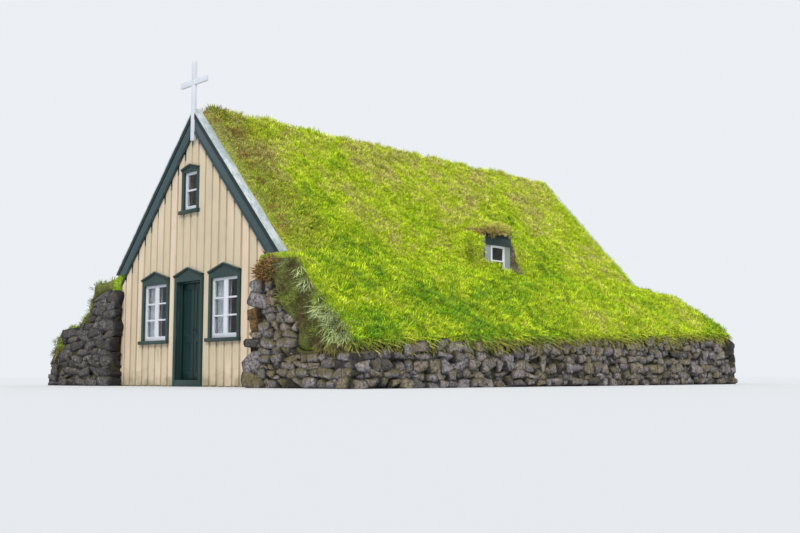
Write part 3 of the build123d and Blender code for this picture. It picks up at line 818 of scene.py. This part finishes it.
# Mouldings on the bargeboards, and the frieze behind them that the boards end against
def rake_strip(side, end, low, high, inner_x, near, far, foot_z=verge_tip_z + 0.002, ease=0.004):
    """A strip along one slope; low and high are square to it, near and far are how far out from the wall."""
    inner, outer = (-0.1, 3.8) if side > 0 else (-3.8, 0.1)
    strip = plank((inner, -far, low), (outer, -near, high), ease)
    strip.rotation_euler.y = side * roof_pitch
    strip.location = (0, front_y, verge_apex_z)
    settled(strip)
    cut_away(strip, (0, 0, foot_z), (0, 0, -1))
    cut_away(strip, (side * inner_x, 0, 0), (-side, 0, 0))
    if end == "rear":
        strip.rotation_euler.z = math.pi
        settled(strip)
    return strip


for end, inner_x in (("front", mast_half + 0.002), ("rear", 0.0)):
    for side, side_name in ((1, "right"), (-1, "left")):
        placed = side if end == "front" else -side
        moulding = rake_strip(placed, end, -0.070, -0.004, inner_x, 0.0802, 0.096)
        finish(named(moulding, f"bargeboard_moulding_{end}_{side_name}"), "root", "green_paint", moulding_paint, smooth=35)
        bead = rake_strip(placed, end, -0.243, -0.218, inner_x, 0.0802, 0.089)
        finish(named(bead, f"bargeboard_bead_{end}_{side_name}"), "root", "green_paint", green_rake, smooth=35)
        frieze = rake_strip(placed, end, -0.315, -0.236, 0.0, 0.0066, 0.014, 1.9, 0.001)
        cut_away(frieze, (placed * (gable_half - 0.004), 0, 0), (placed, 0, 0))
        finish(named(frieze, f"gable_frieze_{end}_{side_name}"), "root", "green_paint", green_rake, smooth=35)


# Net curtains inside the windows, each a single net hung in folds from a rod
def curtain(name, left_x, right_x, y, low_z, high_z, folds, depth, facing):
    bpy.ops.object.select_all(action="DESELECT")
    bpy.ops.mesh.primitive_plane_add(size=1, rotation=(math.pi / 2, 0, 0), location=((left_x + right_x) / 2, y, (low_z + high_z) / 2))
    piece = bpy.context.object
    piece.scale = (right_x - left_x, high_z - low_z, 1)
    settled(piece)
    open_up(piece)
    bpy.ops.mesh.subdivide(number_cuts=45)
    close_up()
    for vertex in piece.data.vertices:
        across = (vertex.co.x - left_x) / (right_x - left_x)
        fall = (high_z - vertex.co.z) / (high_z - low_z)
        swing = math.sin(across * folds * math.tau + 0.6 * math.sin(fall * 3 + folds))
        vertex.co.y = y + facing * depth * swing * (0.55 + 0.45 * fall)
    finish(named(piece, name), "root", "window_glass", net)
    return piece


def curtain_rod(name, left_x, right_x, y, z):
    bpy.ops.object.select_all(action="DESELECT")
    bpy.ops.mesh.primitive_cylinder_add(
        vertices=16, radius=0.006, depth=right_x - left_x, location=((left_x + right_x) / 2, y, z), rotation=(0, math.pi / 2, 0)
    )
    rod = settled(bpy.context.object)
    for x in (left_x, right_x):
        bpy.ops.mesh.primitive_uv_sphere_add(segments=12, ring_count=8, radius=0.012, location=(x, y, z))
        rod = joined([rod, bpy.context.object], name)
    return finish(rod, "root", "knob_metal", iron, smooth=40)


for place, x in (("right", front_middle_x + 1.04), ("left", front_middle_x - 1.04)):
    curtain_rod(f"curtain_rod_{place}", x - 0.348, x + 0.348, front_y + 0.086, 1.752)
    curtain(f"curtain_{place}", x - 0.352, x + 0.050, front_y + 0.086, 0.80, 1.75, 7, 0.007, 1)

# Grass: one blade, tufts of blades, and the sod that carries them
def blade(width, length, bow):
    """Two segments and a tip, standing at the origin and bowing backwards."""
    bpy.ops.object.select_all(action="DESELECT")
    bpy.ops.mesh.primitive_plane_add(size=1, rotation=(math.pi / 2, 0, 0), location=(0, 0, 0.5))
    piece = bpy.context.object
    piece.scale = (width, 1, 1)
    settled(piece)
    piece.data.transform(Matrix.Diagonal((1, 1, length * 0.55, 1)))
    open_up(piece)
    bpy.ops.mesh.select_all(action="DESELECT")
    close_up()
    for vertex in piece.data.vertices:
        vertex.select = vertex.co.z > length * 0.3
    for edge in piece.data.edges:
        edge.select = all(piece.data.vertices[i].select for i in edge.vertices)
    bpy.ops.object.mode_set(mode="EDIT")
    bpy.ops.transform.translate(value=(0, bow * 0.35, 0))
    bpy.ops.mesh.extrude_region_move(TRANSFORM_OT_translate={"value": (0, bow * 0.65, length * 0.45)})
    bpy.ops.mesh.merge(type="CENTER")
    close_up()
    return piece


def tuft(name, blades, width, length, reach, bow, seed, fan=math.tau):
    """A clump of blades that bow outwards over the fan's angle; each blade marks how far along it a point is."""
    chance = random.Random(seed)
    first = blade(width, length, bow)
    heights = first.data.attributes.new("blade_height", "FLOAT", "POINT")
    heights.data.foreach_set("value", [min(1.0, vertex.co.z / length) for vertex in first.data.vertices])
    parts = []
    for number in range(blades):
        part = copy_of(first)
        turn = math.pi / 2 + fan * ((number + chance.uniform(-0.3, 0.3)) / blades - 0.5)
        tall = chance.uniform(0.6, 1.0)
        out = reach * math.sqrt(chance.random())
        part.matrix_world = (
            Matrix.Translation((out * math.cos(turn), out * math.sin(turn), 0))
            @ Matrix.Rotation(turn - math.pi / 2 + chance.uniform(-0.4, 0.4), 4, "Z")
            @ Matrix.Rotation(-chance.uniform(0.05, 0.5), 4, "X")
            @ Matrix.Diagonal((1, tall, tall, 1))
        )
        parts.append(part)
    bpy.data.objects.remove(first)
    return joined(parts, name)


def grower(template, density, seed, upright, unruly, small, large, weight, hanging):
    """Geometry nodes that stand copies of a tuft on a surface, leaning towards upright or bowed down the slope."""
    tree = bpy.data.node_groups.new("grass grower", "GeometryNodeTree")
    tree.interface.new_socket("Geometry", in_out="INPUT", socket_type="NodeSocketGeometry")
    tree.interface.new_socket("Geometry", in_out="OUTPUT", socket_type="NodeSocketGeometry")
    start = tree.nodes.new("NodeGroupInput").outputs[0]
    end = tree.nodes.new("NodeGroupOutput").inputs[0]
    carry = put(tree, "GeometryNodeInputNamedAttribute", {"Name": weight}, data_type="FLOAT").outputs[0]
    thick = math_of(tree, "MULTIPLY", carry, density)
    points = put(tree, "GeometryNodeDistributePointsOnFaces", {"Mesh": start, "Density": thick, "Seed": seed})
    stray = put(
        tree,
        "FunctionNodeRandomValue",
        {0: (-unruly, -unruly, -unruly), 1: (unruly, unruly, unruly), "Seed": seed + 1},
        data_type="FLOAT_VECTOR",
    ).outputs[0]
    along = put(tree, "ShaderNodeVectorMath", {0: points.outputs["Normal"], "Scale": 1.0 - upright}, operation="SCALE").outputs[0]
    lifted = put(tree, "ShaderNodeVectorMath", {0: along, 1: (0, 0, upright)}, operation="ADD").outputs[0]
    aim = put(tree, "ShaderNodeVectorMath", {0: lifted, 1: stray}, operation="ADD").outputs[0]
    stood = put(tree, "FunctionNodeAlignRotationToVector", {"Vector": aim}, axis="Z").outputs[0]
    if hanging:
        downward = {"Rotation": stood, "Vector": (0.0, 0.0, -1.0)}
        stood = put(tree, "FunctionNodeAlignRotationToVector", downward, axis="Y", pivot_axis="Z").outputs[0]
    swing = 0.6 if hanging else math.pi
    turn = put(tree, "FunctionNodeRandomValue", {2: -swing, 3: swing, "Seed": seed + 2}, data_type="FLOAT").outputs[1]
    spin = put(tree, "ShaderNodeCombineXYZ", {2: turn}).outputs[0]
    turned = put(tree, "FunctionNodeRotateRotation", {0: stood, 1: spin}, rotation_space="LOCAL").outputs[0]
    size = put(tree, "FunctionNodeRandomValue", {2: small, 3: large, "Seed": seed + 3}, data_type="FLOAT").outputs[1]
    model = put(tree, "GeometryNodeObjectInfo", {"Object": template, "As Instance": True}).outputs["Geometry"]
    set_out = put(
        tree,
        "GeometryNodeInstanceOnPoints",
        {"Points": points.outputs["Points"], "Instance": model, "Rotation": turned, "Scale": size},
    ).outputs[0]
    tone = put(tree, "FunctionNodeRandomValue", {2: 0.0, 3: 1.0, "Seed": seed + 4}, data_type="FLOAT").outputs[1]
    marked = put(
        tree,
        "GeometryNodeStoreNamedAttribute",
        {"Geometry": set_out, "Name": "tuft_tone", "Value": tone},
        data_type="FLOAT",
        domain="INSTANCE",
    ).outputs[0]
    tree.links.new(put(tree, "GeometryNodeRealizeInstances", {"Geometry": marked}).outputs[0], end)
    return tree


def weighted_area(piece, weight):
    group = piece.vertex_groups[weight].index
    values = [0.0] * len(piece.data.vertices)
    for vertex in piece.data.vertices:
        for entry in vertex.groups:
            if entry.group == group:
                values[vertex.index] = entry.weight
    return sum(p.area * sum(values[i] for i in p.vertices) / len(p.vertices) for p in piece.data.polygons)


def grown(name, ground, template, triangles, seed, paint, upright=0.45, unruly=0.35, weight="grass", hanging=False):
    """Grass on the weighted part of the ground, with about that many triangles in all."""
    piece = named(copy_of(ground), name)
    piece.parent = None
    each = sum(len(p.vertices) - 2 for p in template.data.polygons)
    density = triangles / each / max(weighted_area(piece, weight), 0.01)
    only(piece)
    modifier = piece.modifiers.new("grass", "NODES")
    modifier.node_group = grower(template, density, seed, upright, unruly, 0.65, 1.45, weight, hanging)
    bpy.ops.object.modifier_apply(modifier=modifier.name)
    piece.vertex_groups.clear()
    return finish(piece, "root", "turf", paint)


def smooth_step(low, high, value):
    share = min(1.0, max(0.0, (value - low) / (high - low)))
    return share * share * (3 - 2 * share)


def clouds(name, size, depth):
    texture = bpy.data.textures.new(name, "CLOUDS")
    texture.noise_scale = size
    texture.noise_depth = depth
    return texture


broad_lumps = clouds("broad lumps", 0.55, 2)
small_lumps = clouds("small lumps", 0.16, 3)


def base_top_at(side, y):
    """Height of the stone base's outer edge at y."""
    share = (y - wall_front_y[side]) / (wall_rear_y - wall_front_y[side])
    return between(wall_top_z, min(1.0, max(0.0, share)))


def under_dormer_roof(place):
    low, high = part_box("dormer_cheeks")
    return place.x < high.x + 0.04 and low.y < place.y < high.y and place.z < high.z + 0.06


def sod_weights(piece, side):
    """Marks the outer side, which may swell, where grass grows, and where it hangs over an edge."""
    groups = {name: piece.vertex_groups.new(name=name) for name in ("swell", "grass", "fringe", "straw", "rust", "brown")}
    end_face_shade, bare_soil_and_shade, dead_edge = [], [], []
    for vertex in piece.data.vertices:
        x, y, z = side * vertex.co.x, abs(vertex.co.y), vertex.co.z
        normal = vertex.normal
        end_out = normal.y * (1 if vertex.co.y > 0 else -1)
        towards_room = 1 - max(smooth_step(-0.6, -0.2, side * normal.x), smooth_step(0.2, 0.5, normal.z))
        place = Vector((x, vertex.co.y, z))
        open_side = (1 - towards_room) * max(
            smooth_step(-0.1, 0.4, normal.z), smooth_step(0.2, 0.6, side * normal.x), smooth_step(0.3, 0.7, end_out)
        )
        if side > 0 and under_dormer_roof(place):
            open_side = 0.0
        on_roof = 1 - smooth_step(2.46, 2.62, x)
        clear_of_cap = 1 - on_roof * smooth_step(cap_inner_y - 0.16, cap_inner_y - 0.03, y)
        beside_verge = smooth_step(cap_inner_y - 0.1, cap_inner_y, y) * (1 - smooth_step(2.75, 3.1, x))
        near_cap = on_roof * smooth_step(cap_inner_y - 0.02, cap_inner_y, y)
        low_edge = 1 - smooth_step(0.10, 0.22, z - base_top_at(side, vertex.co.y))
        end_edge = smooth_step(0.15, 0.4, end_out) * smooth_step(0.2, 0.4, normal.z) * (1 - smooth_step(0.8, 0.95, normal.z))
        clump = 0.12 + smooth_step(0.0, 0.25, noise.noise(place * 3.6))
        soil = max(max(0.0, 1 - soft_length(place - middle, radii)) for middle, radii in soil_and_shade_patches) if side > 0 else 0.0
        # The left front end of the turf gets painted shade as well
        shaded_left_end = 0.75 * smooth_step(4.2, 4.8, -vertex.co.y) if side < 0 else 0.0
        end_face_shade.append(max(shaded_left_end, smooth_step(0.35, 0.7, end_out)) * smooth_step(2.4, 2.6, x))
        bare_soil_and_shade.append(smooth_step(0.0, 0.35, soil))
        over_dormer = max(0.0, 1 - soft_length(place - brown_edge, (0.34, 0.54, 0.09))) if side > 0 else 0.0
        dead_edge.append(smooth_step(0.0, 0.3, over_dormer))
        weights = {
            "swell": open_side * clear_of_cap * (1 - beside_verge),
            "grass": open_side
            * (1 - near_cap)
            * (1 - 0.75 * beside_verge)
            * smooth_step(-0.25, 0.1, normal.z)
            * (1 - 0.9 * bare_soil_and_shade[-1])
            * (1 - 0.7 * dead_edge[-1])
            * (1 - 0.3 * end_face_shade[-1]),
            "fringe": low_edge * smooth_step(3.7, 4.0, x) * open_side,
            "straw": end_edge * smooth_step(2.95, 3.2, x) * clump if side > 0 and vertex.co.y < 0 else 0.0,
            "rust": max(0.0, 1 - (place - rust_clump).length / 0.25) if side > 0 else 0.0,
            "brown": over_dormer * open_side,
        }
        for name, weight in weights.items():
            groups[name].add([vertex.index], weight, "REPLACE")
    for name, values in (("end_face_shade", end_face_shade), ("bare_soil_and_shade", bare_soil_and_shade), ("dead_edge", dead_edge)):
        piece.data.attributes.new(name, "FLOAT", "POINT").data.foreach_set("value", values)


def soft_length(offset, radii):
    return math.sqrt(sum((part / radius) ** 2 for part, radius in zip(offset, radii)))


def mound(centre, radii, *cuts):
    """A rounded heap of turf, to be grown together with the sod; the cuts keep it out of the room and the dormer."""
    bpy.ops.object.select_all(action="DESELECT")
    bpy.ops.mesh.primitive_ico_sphere_add(subdivisions=3, radius=1, location=centre, scale=radii)
    piece = settled(bpy.context.object)
    for co, normal in cuts:
        cut_away(piece, co, normal)
    return piece


def sod(name, side, sources, mounds=()):
    """Turf solids and heaps grown together into one lumpy body."""
    piece = joined([from_solid(node) for node in sources] + [mound(*heap) for heap in mounds], name)
    applied(piece, "REMESH", mode="VOXEL", voxel_size=0.065)
    applied(piece, "SMOOTH", factor=0.5, iterations=3)
    sod_weights(piece, side)
    applied(piece, "DISPLACE", texture=broad_lumps, texture_coords="LOCAL", strength=0.17, mid_level=0.42, vertex_group="swell")
    applied(piece, "DISPLACE", texture=small_lumps, texture_coords="LOCAL", strength=0.085, mid_level=0.45, vertex_group="swell")
    return finish(in_triangles(piece), "root", "turf", sod_mat, replaced=sources, smooth=80)


lawn_tuft = tuft("lawn tuft", 7, 0.009, 0.075, 0.042, 0.034, 3)
rust_clump = Vector((2.56, -5.28, 1.70))
brown_edge = Vector((2.52, -0.22, 2.80))
# Bare soil by the dormer: the first patch is cut turf, the other two are dark soil painted as shade in the gaps beside
# its casing
soil_and_shade_patches = [(Vector((2.30, 0.68, 2.22)), (0.42, 0.30, 0.36)), (Vector((2.40, -0.34, 2.52)), (0.26, 0.17, 0.24)), (Vector((2.36, 0.60, 2.58)), (0.24, 0.15, 0.30))]
under_the_turf = ((0, 0, roof_z(-0.15, 0)), (-math.sin(roof_pitch), 0, -math.cos(roof_pitch)))
in_the_dormer_roof = ((0, 0, 2.795), (0, 0, -1))
in_the_far_cheek = ((0, 0.49, 0), (0, -1, 0))
in_the_dormer_casing = ((2.42, 0, 0), (-1, 0, 0))
dormer_hood = [
    ((1.98, -0.56, 2.40), (0.62, 0.34, 0.50), under_the_turf),
    ((2.13, 0.12, 2.84), (0.54, 0.56, 0.18), in_the_dormer_roof),
    ((1.95, 0.62, 2.40), (0.50, 0.16, 0.36), under_the_turf, in_the_far_cheek),
    ((2.50, -0.20, 1.98), (0.22, 0.30, 0.26), in_the_dormer_casing),
]
right_sod = sod("turf_body_right", 1, ["turf_roof_right", "turf_bank_right", "dormer_turf"], dormer_hood + [(rust_clump, (0.20, 0.15, 0.12))])
left_sod = sod("turf_body_left", -1, ["turf_roof_left", "turf_bank_left"])


def half_ground(ground, name, split_y, end):
    """The part of the sod before or behind a line across it, for grass in two pieces."""
    piece = copy_of(ground)
    piece.parent = None
    weights = piece.vertex_groups["grass"]
    for vertex in piece.data.vertices:
        if (vertex.co.y > split_y) == (end == "front"):
            weights.add([vertex.index], 0.0, "REPLACE")
    return named(piece, name)


grass_budget = {"right_front": 172000, "right_rear": 160000, "left_front": 95000, "left_rear": 95000}
for index, (part, triangles) in enumerate(grass_budget.items()):
    side_name, end = part.split("_")
    ground = half_ground(right_sod if side_name == "right" else left_sod, "ground", -0.6, end)
    grown(f"grass_{part}", ground, lawn_tuft, triangles, 40 + 7 * index, grass_mat)
    bpy.data.objects.remove(ground)

hanging_tuft = tuft("hanging tuft", 6, 0.008, 0.11, 0.05, 0.12, 9, fan=1.8)
straw_tuft = tuft("straw tuft", 8, 0.0045, 0.12, 0.09, 0.14, 12, fan=0.9)
short_tuft = tuft("short tuft", 7, 0.012, 0.07, 0.05, 0.05, 15)
grown("grass_fringe_right", right_sod, hanging_tuft, 26000, 91, grass_mat, 0.0, 0.25, "fringe", hanging=True)
grown("grass_fringe_left", left_sod, hanging_tuft, 22000, 95, grass_mat, 0.0, 0.25, "fringe", hanging=True)
grown("grass_straw_edge", right_sod, straw_tuft, 1900, 99, straw_mat, 0.0, 0.3, "straw", hanging=True)
grown("grass_dead_clump", right_sod, short_tuft, 2800, 103, rust_mat, 0.2, 0.6, "rust")
grown("grass_dormer_edge", right_sod, lawn_tuft, 1300, 107, tan_mat, 0.2, 0.6, "brown")
for template in (hanging_tuft, straw_tuft, short_tuft):
    bpy.data.objects.remove(template)
bpy.data.objects.remove(lawn_tuft)


# Stone walls: an uneven core of earth and rubble, and stones laid over its faces
def on_the_ground(piece):
    """Cuts a piece level with the ground where it goes below it."""
    if min(vertex.co.z for vertex in piece.data.vertices) < ground_z:
        cut_away(piece, (0, 0, ground_z), (0, 0, -1))
    return piece


def wall_core(side, side_name):
    """The core of one wall, lumpy where it shows between the stones."""
    sources = [f"stone_base_{side_name}", f"stone_end_front_{side_name}", f"stone_end_rear_{side_name}"]
    piece = joined([from_solid(node) for node in sources], f"wall_core_{side_name}")
    applied(piece, "REMESH", mode="VOXEL", voxel_size=0.08)
    rough = piece.vertex_groups.new(name="rough")
    for vertex in piece.data.vertices:
        end_out = abs(vertex.normal.y) if abs(vertex.co.y) > 5.0 else 0.0
        outward = max(smooth_step(0.3, 0.8, side * vertex.normal.x), smooth_step(0.3, 0.8, end_out))
        rough.add([vertex.index], outward, "REPLACE")
    applied(piece, "DISPLACE", texture=small_lumps, texture_coords="LOCAL", strength=0.14, mid_level=0.75, vertex_group="rough")
    finish(in_triangles(on_the_ground(piece)), "root", "stone", earth, replaced=sources, smooth=60)


def rough_stone(name, seed, cuts):
    """A block about one unit in size: rounded, split along a few planes and roughened."""
    chance = random.Random(seed)
    bpy.ops.object.select_all(action="DESELECT")
    bpy.ops.mesh.primitive_cube_add(size=1)
    piece = bpy.context.object
    open_up(piece)
    bpy.ops.mesh.subdivide(number_cuts=cuts)
    bpy.ops.transform.tosphere(value=0.45)
    for _ in range(4):
        normal = Vector([chance.gauss(0, 1) for _ in range(3)]).normalized()
        bpy.ops.mesh.select_all(action="SELECT")
        bpy.ops.mesh.bisect(
            plane_co=normal * chance.uniform(0.38, 0.50), plane_no=normal, use_fill=True, clear_outer=True
        )
    bpy.ops.mesh.select_all(action="SELECT")
    bpy.ops.mesh.quads_convert_to_tris(ngon_method="BEAUTY")
    close_up()
    texture = clouds(name, 0.42, 2)
    piece.location = [chance.uniform(-9, 9) for _ in range(3)]
    applied(piece, "DISPLACE", texture=texture, texture_coords="GLOBAL", strength=0.22, mid_level=0.5)
    piece.location = (0, 0, 0)
    return named(piece, name)


block_shapes = [rough_stone(f"block shape {number}", 60 + number, 2) for number in range(8)]
chip_shapes = [rough_stone(f"chip shape {number}", 80 + number, 1) for number in range(5)]


def laid(chance, shapes, centre, size, outward, tone, mossy, peat=0.0):
    """One stone of the given length, depth and height, with its face turned outward and painted shade on its sides and
    back.
    """
    piece = copy_of(chance.choice(shapes))
    outward = Vector(outward).normalized()
    along = outward.cross(Vector((0, 0, 1))).normalized()
    basis = Matrix((along, outward, along.cross(outward))).transposed().to_4x4()
    quarter = [Matrix.Rotation(math.pi / 2 * chance.randrange(4), 4, axis) for axis in "XYZ"]
    tilt = Matrix.Rotation(chance.uniform(-0.20, 0.20), 4, "Y") @ Matrix.Rotation(chance.uniform(-0.12, 0.12), 4, "Z")
    piece.data.transform(quarter[0] @ quarter[1] @ quarter[2])
    count = len(piece.data.vertices)
    # How far each point lies towards the stone's edges and back, for the painted shade in the joints
    joint_shade = [
        max((2 * max(abs(vertex.co.x), abs(vertex.co.z)) - 0.62) / 0.32, (0.34 - vertex.co.y) / 0.24)
        for vertex in piece.data.vertices
    ]
    piece.data.transform(Matrix.Translation(centre) @ basis @ tilt @ Matrix.Diagonal((*size, 1)))
    marks = {"stone_tone": [tone] * count, "mossy": [mossy] * count, "peat": [peat] * count, "joint_shade": joint_shade}
    for name, values in marks.items():
        piece.data.attributes.new(name, "FLOAT", "POINT").data.foreach_set("value", values)
    return on_the_ground(piece)


def side_face_x(share, z):
    """How far out the outer face of a side wall is, at a share of its length and height z."""
    foot_x, top_x = between(wall_foot, share), between(wall_top_x, share)
    return foot_x + (top_x - foot_x) * z / between(wall_top_z, share)


def side_stones(side, chance):
    """Courses along the outer face of one side wall, as high as its base, with chips in the joints."""
    stones = []
    front = wall_front_y[side]
    long_way = wall_rear_y - front
    low_z = 0.0
    while low_z < wall_top_z[1]:
        height = chance.uniform(0.11, 0.18)
        y = front + 0.04
        while y < wall_rear_y - 0.08:
            length = min(chance.uniform(0.13, 0.34), wall_rear_y - 0.02 - y)
            share = (y + length / 2 - front) / long_way
            z = low_z + height / 2 + chance.uniform(-0.02, 0.02) + 0.05 * noise.noise((side, y * 0.9, low_z * 3))
            if z < between(wall_top_z, share) + height * 0.05:
                depth = chance.uniform(0.22, 0.32)
                x = side * (side_face_x(share, z) + chance.uniform(-0.02, 0.06) - depth / 2)
                size = (length * chance.uniform(1.10, 1.34), depth * 1.1, height * chance.uniform(1.05, 1.50))
                stones.append(laid(
                    chance, block_shapes, (x, y + length / 2, z), size, (side, 0, 0.1), chance.random(), chance.uniform(0, 0.7)
                ))
            y += length
        low_z += height * 0.93
    for _ in range(170):
        share = chance.uniform(0.01, 0.985)
        z = chance.uniform(0.04, between(wall_top_z, share) - 0.03)
        size = (chance.uniform(0.09, 0.20), 0.16, chance.uniform(0.07, 0.13))
        x = side * (side_face_x(share, z) - chance.uniform(0.05, 0.08))
        centre = (x, front + share * long_way, z)
        stones.append(laid(chance, chip_shapes, centre, size, (side, 0, 0.1), chance.random(), chance.random()))
    return stones


def end_reach(side, end, z):
    """How far out from the timber the stones of a wall's end go at height z."""
    points = pile_width[side]
    reach = points[-1][1]
    for (low, wide), (high, narrow) in zip(points, points[1:]):
        if low <= z <= high:
            reach = between((wide, narrow), (z - low) / (high - low))
            break
    if z < wall_top_z[0 if end < 0 else 1] - 0.05:
        reach = max(reach, wall_foot[0 if end < 0 else 1] - gable_half - 0.04)
    return reach


# The corner stones beside the timber at the front right, from the ground up: height, length, tone, moss, peat
corner_rows = [
    (0.22, 0.42, 0.85, 0.9, 0.0),
    (0.36, 0.50, 0.42, 0.0, 0.0),
    (0.11, 0.38, 0.05, 0.0, 0.0),
    (0.11, 0.34, 0.75, 0.4, 0.0),
    (0.19, 0.25, 0.50, 0.0, 1.0),
    (0.18, 0.22, 0.50, 0.0, 1.0),
    (0.20, 0.44, 0.46, 0.0, 0.0),
    (0.24, 0.30, 0.30, 0.2, 0.0),
]
# Each wall end: course heights, stone lengths, moss, tone
end_styles = {
    (1, -1): ((0.09, 0.16), (0.14, 0.34), (0.6, 1.0), (0.2, 1.0)),
    # The left front end has the darkest tones: painted shade over that pile
    (-1, -1): ((0.08, 0.18), (0.28, 0.60), (0.0, 0.3), (0.0, 0.15)),
    (1, 1): ((0.11, 0.19), (0.18, 0.40), (0.2, 0.8), (0.0, 1.0)),
    (-1, 1): ((0.11, 0.19), (0.18, 0.40), (0.2, 0.8), (0.0, 1.0)),
}


def end_face_y(side, end, z):
    """How far from the middle of the church the face of a wall's end is."""
    return abs(wall_front_y[side] if end < 0 else wall_rear_y) - end_lean * z


def corner_stones(side, end, chance, rows):
    """The stones beside the timber, two deep."""
    stones = []
    low_z = 0.0
    for height, length, tone, mossy, peat in rows:
        z = low_z + height / 2
        face = end_face_y(side, end, z)
        thick = face - rear_y
        depth = min(0.34, thick * 0.9)
        x = side * (gable_half + length / 2 - 0.03)
        for y, deep in ((face + 0.02 - depth / 2, depth), (rear_y + (thick - depth) / 2 + 0.01, thick - depth)):
            if deep > 0.08:
                size = (length * 1.16, deep * 1.15, height * 1.22)
                stones.append(laid(chance, block_shapes, (x, end * y, z), size, (0, end, 0.09), tone, mossy, peat))
        low_z += height
    return stones


def end_stones(side, end, chance):
    """Corner stones and courses over one end of a side wall."""
    shape_side = side if end < 0 else 1
    heights, lengths, mossy, tones = end_styles[side, end]
    top_z = pile_width[shape_side][-1][0]
    rows = corner_rows
    if (side, end) != (1, -1):
        rows = []
        while sum(row[0] for row in rows) < top_z - 0.06:
            height, length = chance.uniform(*heights) * 1.2, chance.uniform(0.34, 0.52)
            rows.append((height, length, chance.uniform(*tones), chance.uniform(*mossy), 0.0))
    stones = corner_stones(side, end, chance, rows)
    low_z = 0.0
    while low_z < top_z - 0.05:
        height = min(chance.uniform(*heights), top_z - low_z)
        z = low_z + height / 2
        reach = end_reach(shape_side, end, z)
        out = 0.26 + chance.uniform(0.0, 0.10)
        while out < reach - 0.05:
            length = min(chance.uniform(*lengths), max(0.16, reach - out))
            depth = min(chance.uniform(0.26, 0.36), (end_face_y(side, end, z) - rear_y) * 0.9)
            y = end * (end_face_y(side, end, z) + chance.uniform(-0.02, 0.03) - depth / 2)
            x = side * (gable_half + out + length / 2)
            size = (length * chance.uniform(1.14, 1.34), depth * 1.1, height * chance.uniform(1.12, 1.44))
            stones.append(laid(
                chance, block_shapes, (x, y, z), size, (0, end, 0.09), chance.uniform(*tones), chance.uniform(*mossy)
            ))
            out += length
        low_z += height * 0.94
    for _ in range(60):
        z = chance.uniform(0.04, top_z - 0.10)
        out = chance.uniform(0.05, end_reach(shape_side, end, z) - 0.05)
        y = end * (end_face_y(side, end, z) - chance.uniform(0.05, 0.08))
        size = (chance.uniform(0.09, 0.20), 0.14, chance.uniform(0.06, 0.12))
        stones.append(laid(
            chance, chip_shapes, (side * (gable_half + out), y, z), size, (0, end, 0.09), chance.uniform(*tones), chance.uniform(*mossy)
        ))
    return stones


for side, side_name in ((1, "right"), (-1, "left")):
    chance = random.Random(200 + side)
    wall_core(side, side_name)
    finish(joined(side_stones(side, chance), f"stones_side_{side_name}"), "root", "stone", stone, smooth=60)
    ends = end_stones(side, -1, chance) + end_stones(side, 1, chance)
    finish(joined(ends, f"stones_ends_{side_name}"), "root", "stone", stone, smooth=60)
for shape in block_shapes + chip_shapes:
    bpy.data.objects.remove(shape)


# Floor, light and camera
def stage_floor():
    bpy.ops.object.select_all(action="DESELECT")
    bpy.ops.mesh.primitive_plane_add(size=400)
    floor = named(bpy.context.object, "studio_floor")
    material, tree, shader = surface("pale studio floor", 0.95)
    shader.inputs["Base Color"].default_value = colour(0.84, 0.86, 0.89)
    floor.data.materials.append(material)


def studio_light():
    world = bpy.data.worlds.new("studio")
    bpy.context.scene.world = world
    world.use_nodes = True
    tree = world.node_tree
    path = tree.nodes.new("ShaderNodeLightPath").outputs
    seen = math_of(tree, "MAXIMUM", path["Is Camera Ray"], math_of(tree, "MAXIMUM", path["Is Glossy Ray"], path["Is Transmission Ray"]))
    back = tree.nodes["Background"]
    back.inputs["Color"].default_value = colour(0.93, 0.96, 1.0)
    tree.links.new(spread(tree, seen, 0.0, 1.0, 0.62, 0.90), back.inputs["Strength"])
    lamp = bpy.data.objects.new("key", bpy.data.lights.new("key", "SUN"))
    lamp.data.energy = 1.7
    lamp.data.angle = math.radians(14)
    lamp.data.color = (1.0, 0.97, 0.92)
    lamp.rotation_euler = Vector((0.50, -0.62, 0.72)).to_track_quat("Z", "Y").to_euler()
    bpy.context.scene.collection.objects.link(lamp)


camera_place = Vector((14.470, -14.380, 0.157))
camera_yaw = math.radians(29.98)
camera_pitch = math.radians(11.2)
camera_roll = math.radians(-2.39)
camera_aim = Vector((1.2, -1.2, 2.2))


def photographers_camera():
    """Stands where the photograph was taken from, and turns the shortest way to the church."""
    forward = Vector(
        (
            -math.sin(camera_yaw) * math.cos(camera_pitch),
            math.cos(camera_yaw) * math.cos(camera_pitch),
            math.sin(camera_pitch),
        )
    )
    level = Vector((math.cos(camera_yaw), math.sin(camera_yaw), 0))
    above = level.cross(forward)
    right = math.cos(camera_roll) * level + math.sin(camera_roll) * above
    up = math.cos(camera_roll) * above - math.sin(camera_roll) * level
    taken = Matrix((right, up, -forward)).transposed()
    turn = forward.rotation_difference(camera_aim - camera_place).to_matrix()
    camera = bpy.data.objects.new("camera", bpy.data.cameras.new("camera"))
    camera.matrix_world = Matrix.Translation(camera_place) @ (turn @ taken).to_4x4()
    camera.data.lens = 45.5
    camera.data.clip_end = 400
    bpy.context.scene.collection.objects.link(camera)
    bpy.context.scene.camera = camera


stage_floor()
studio_light()
photographers_camera()
bpy.context.scene.view_settings.view_transform = "Standard"
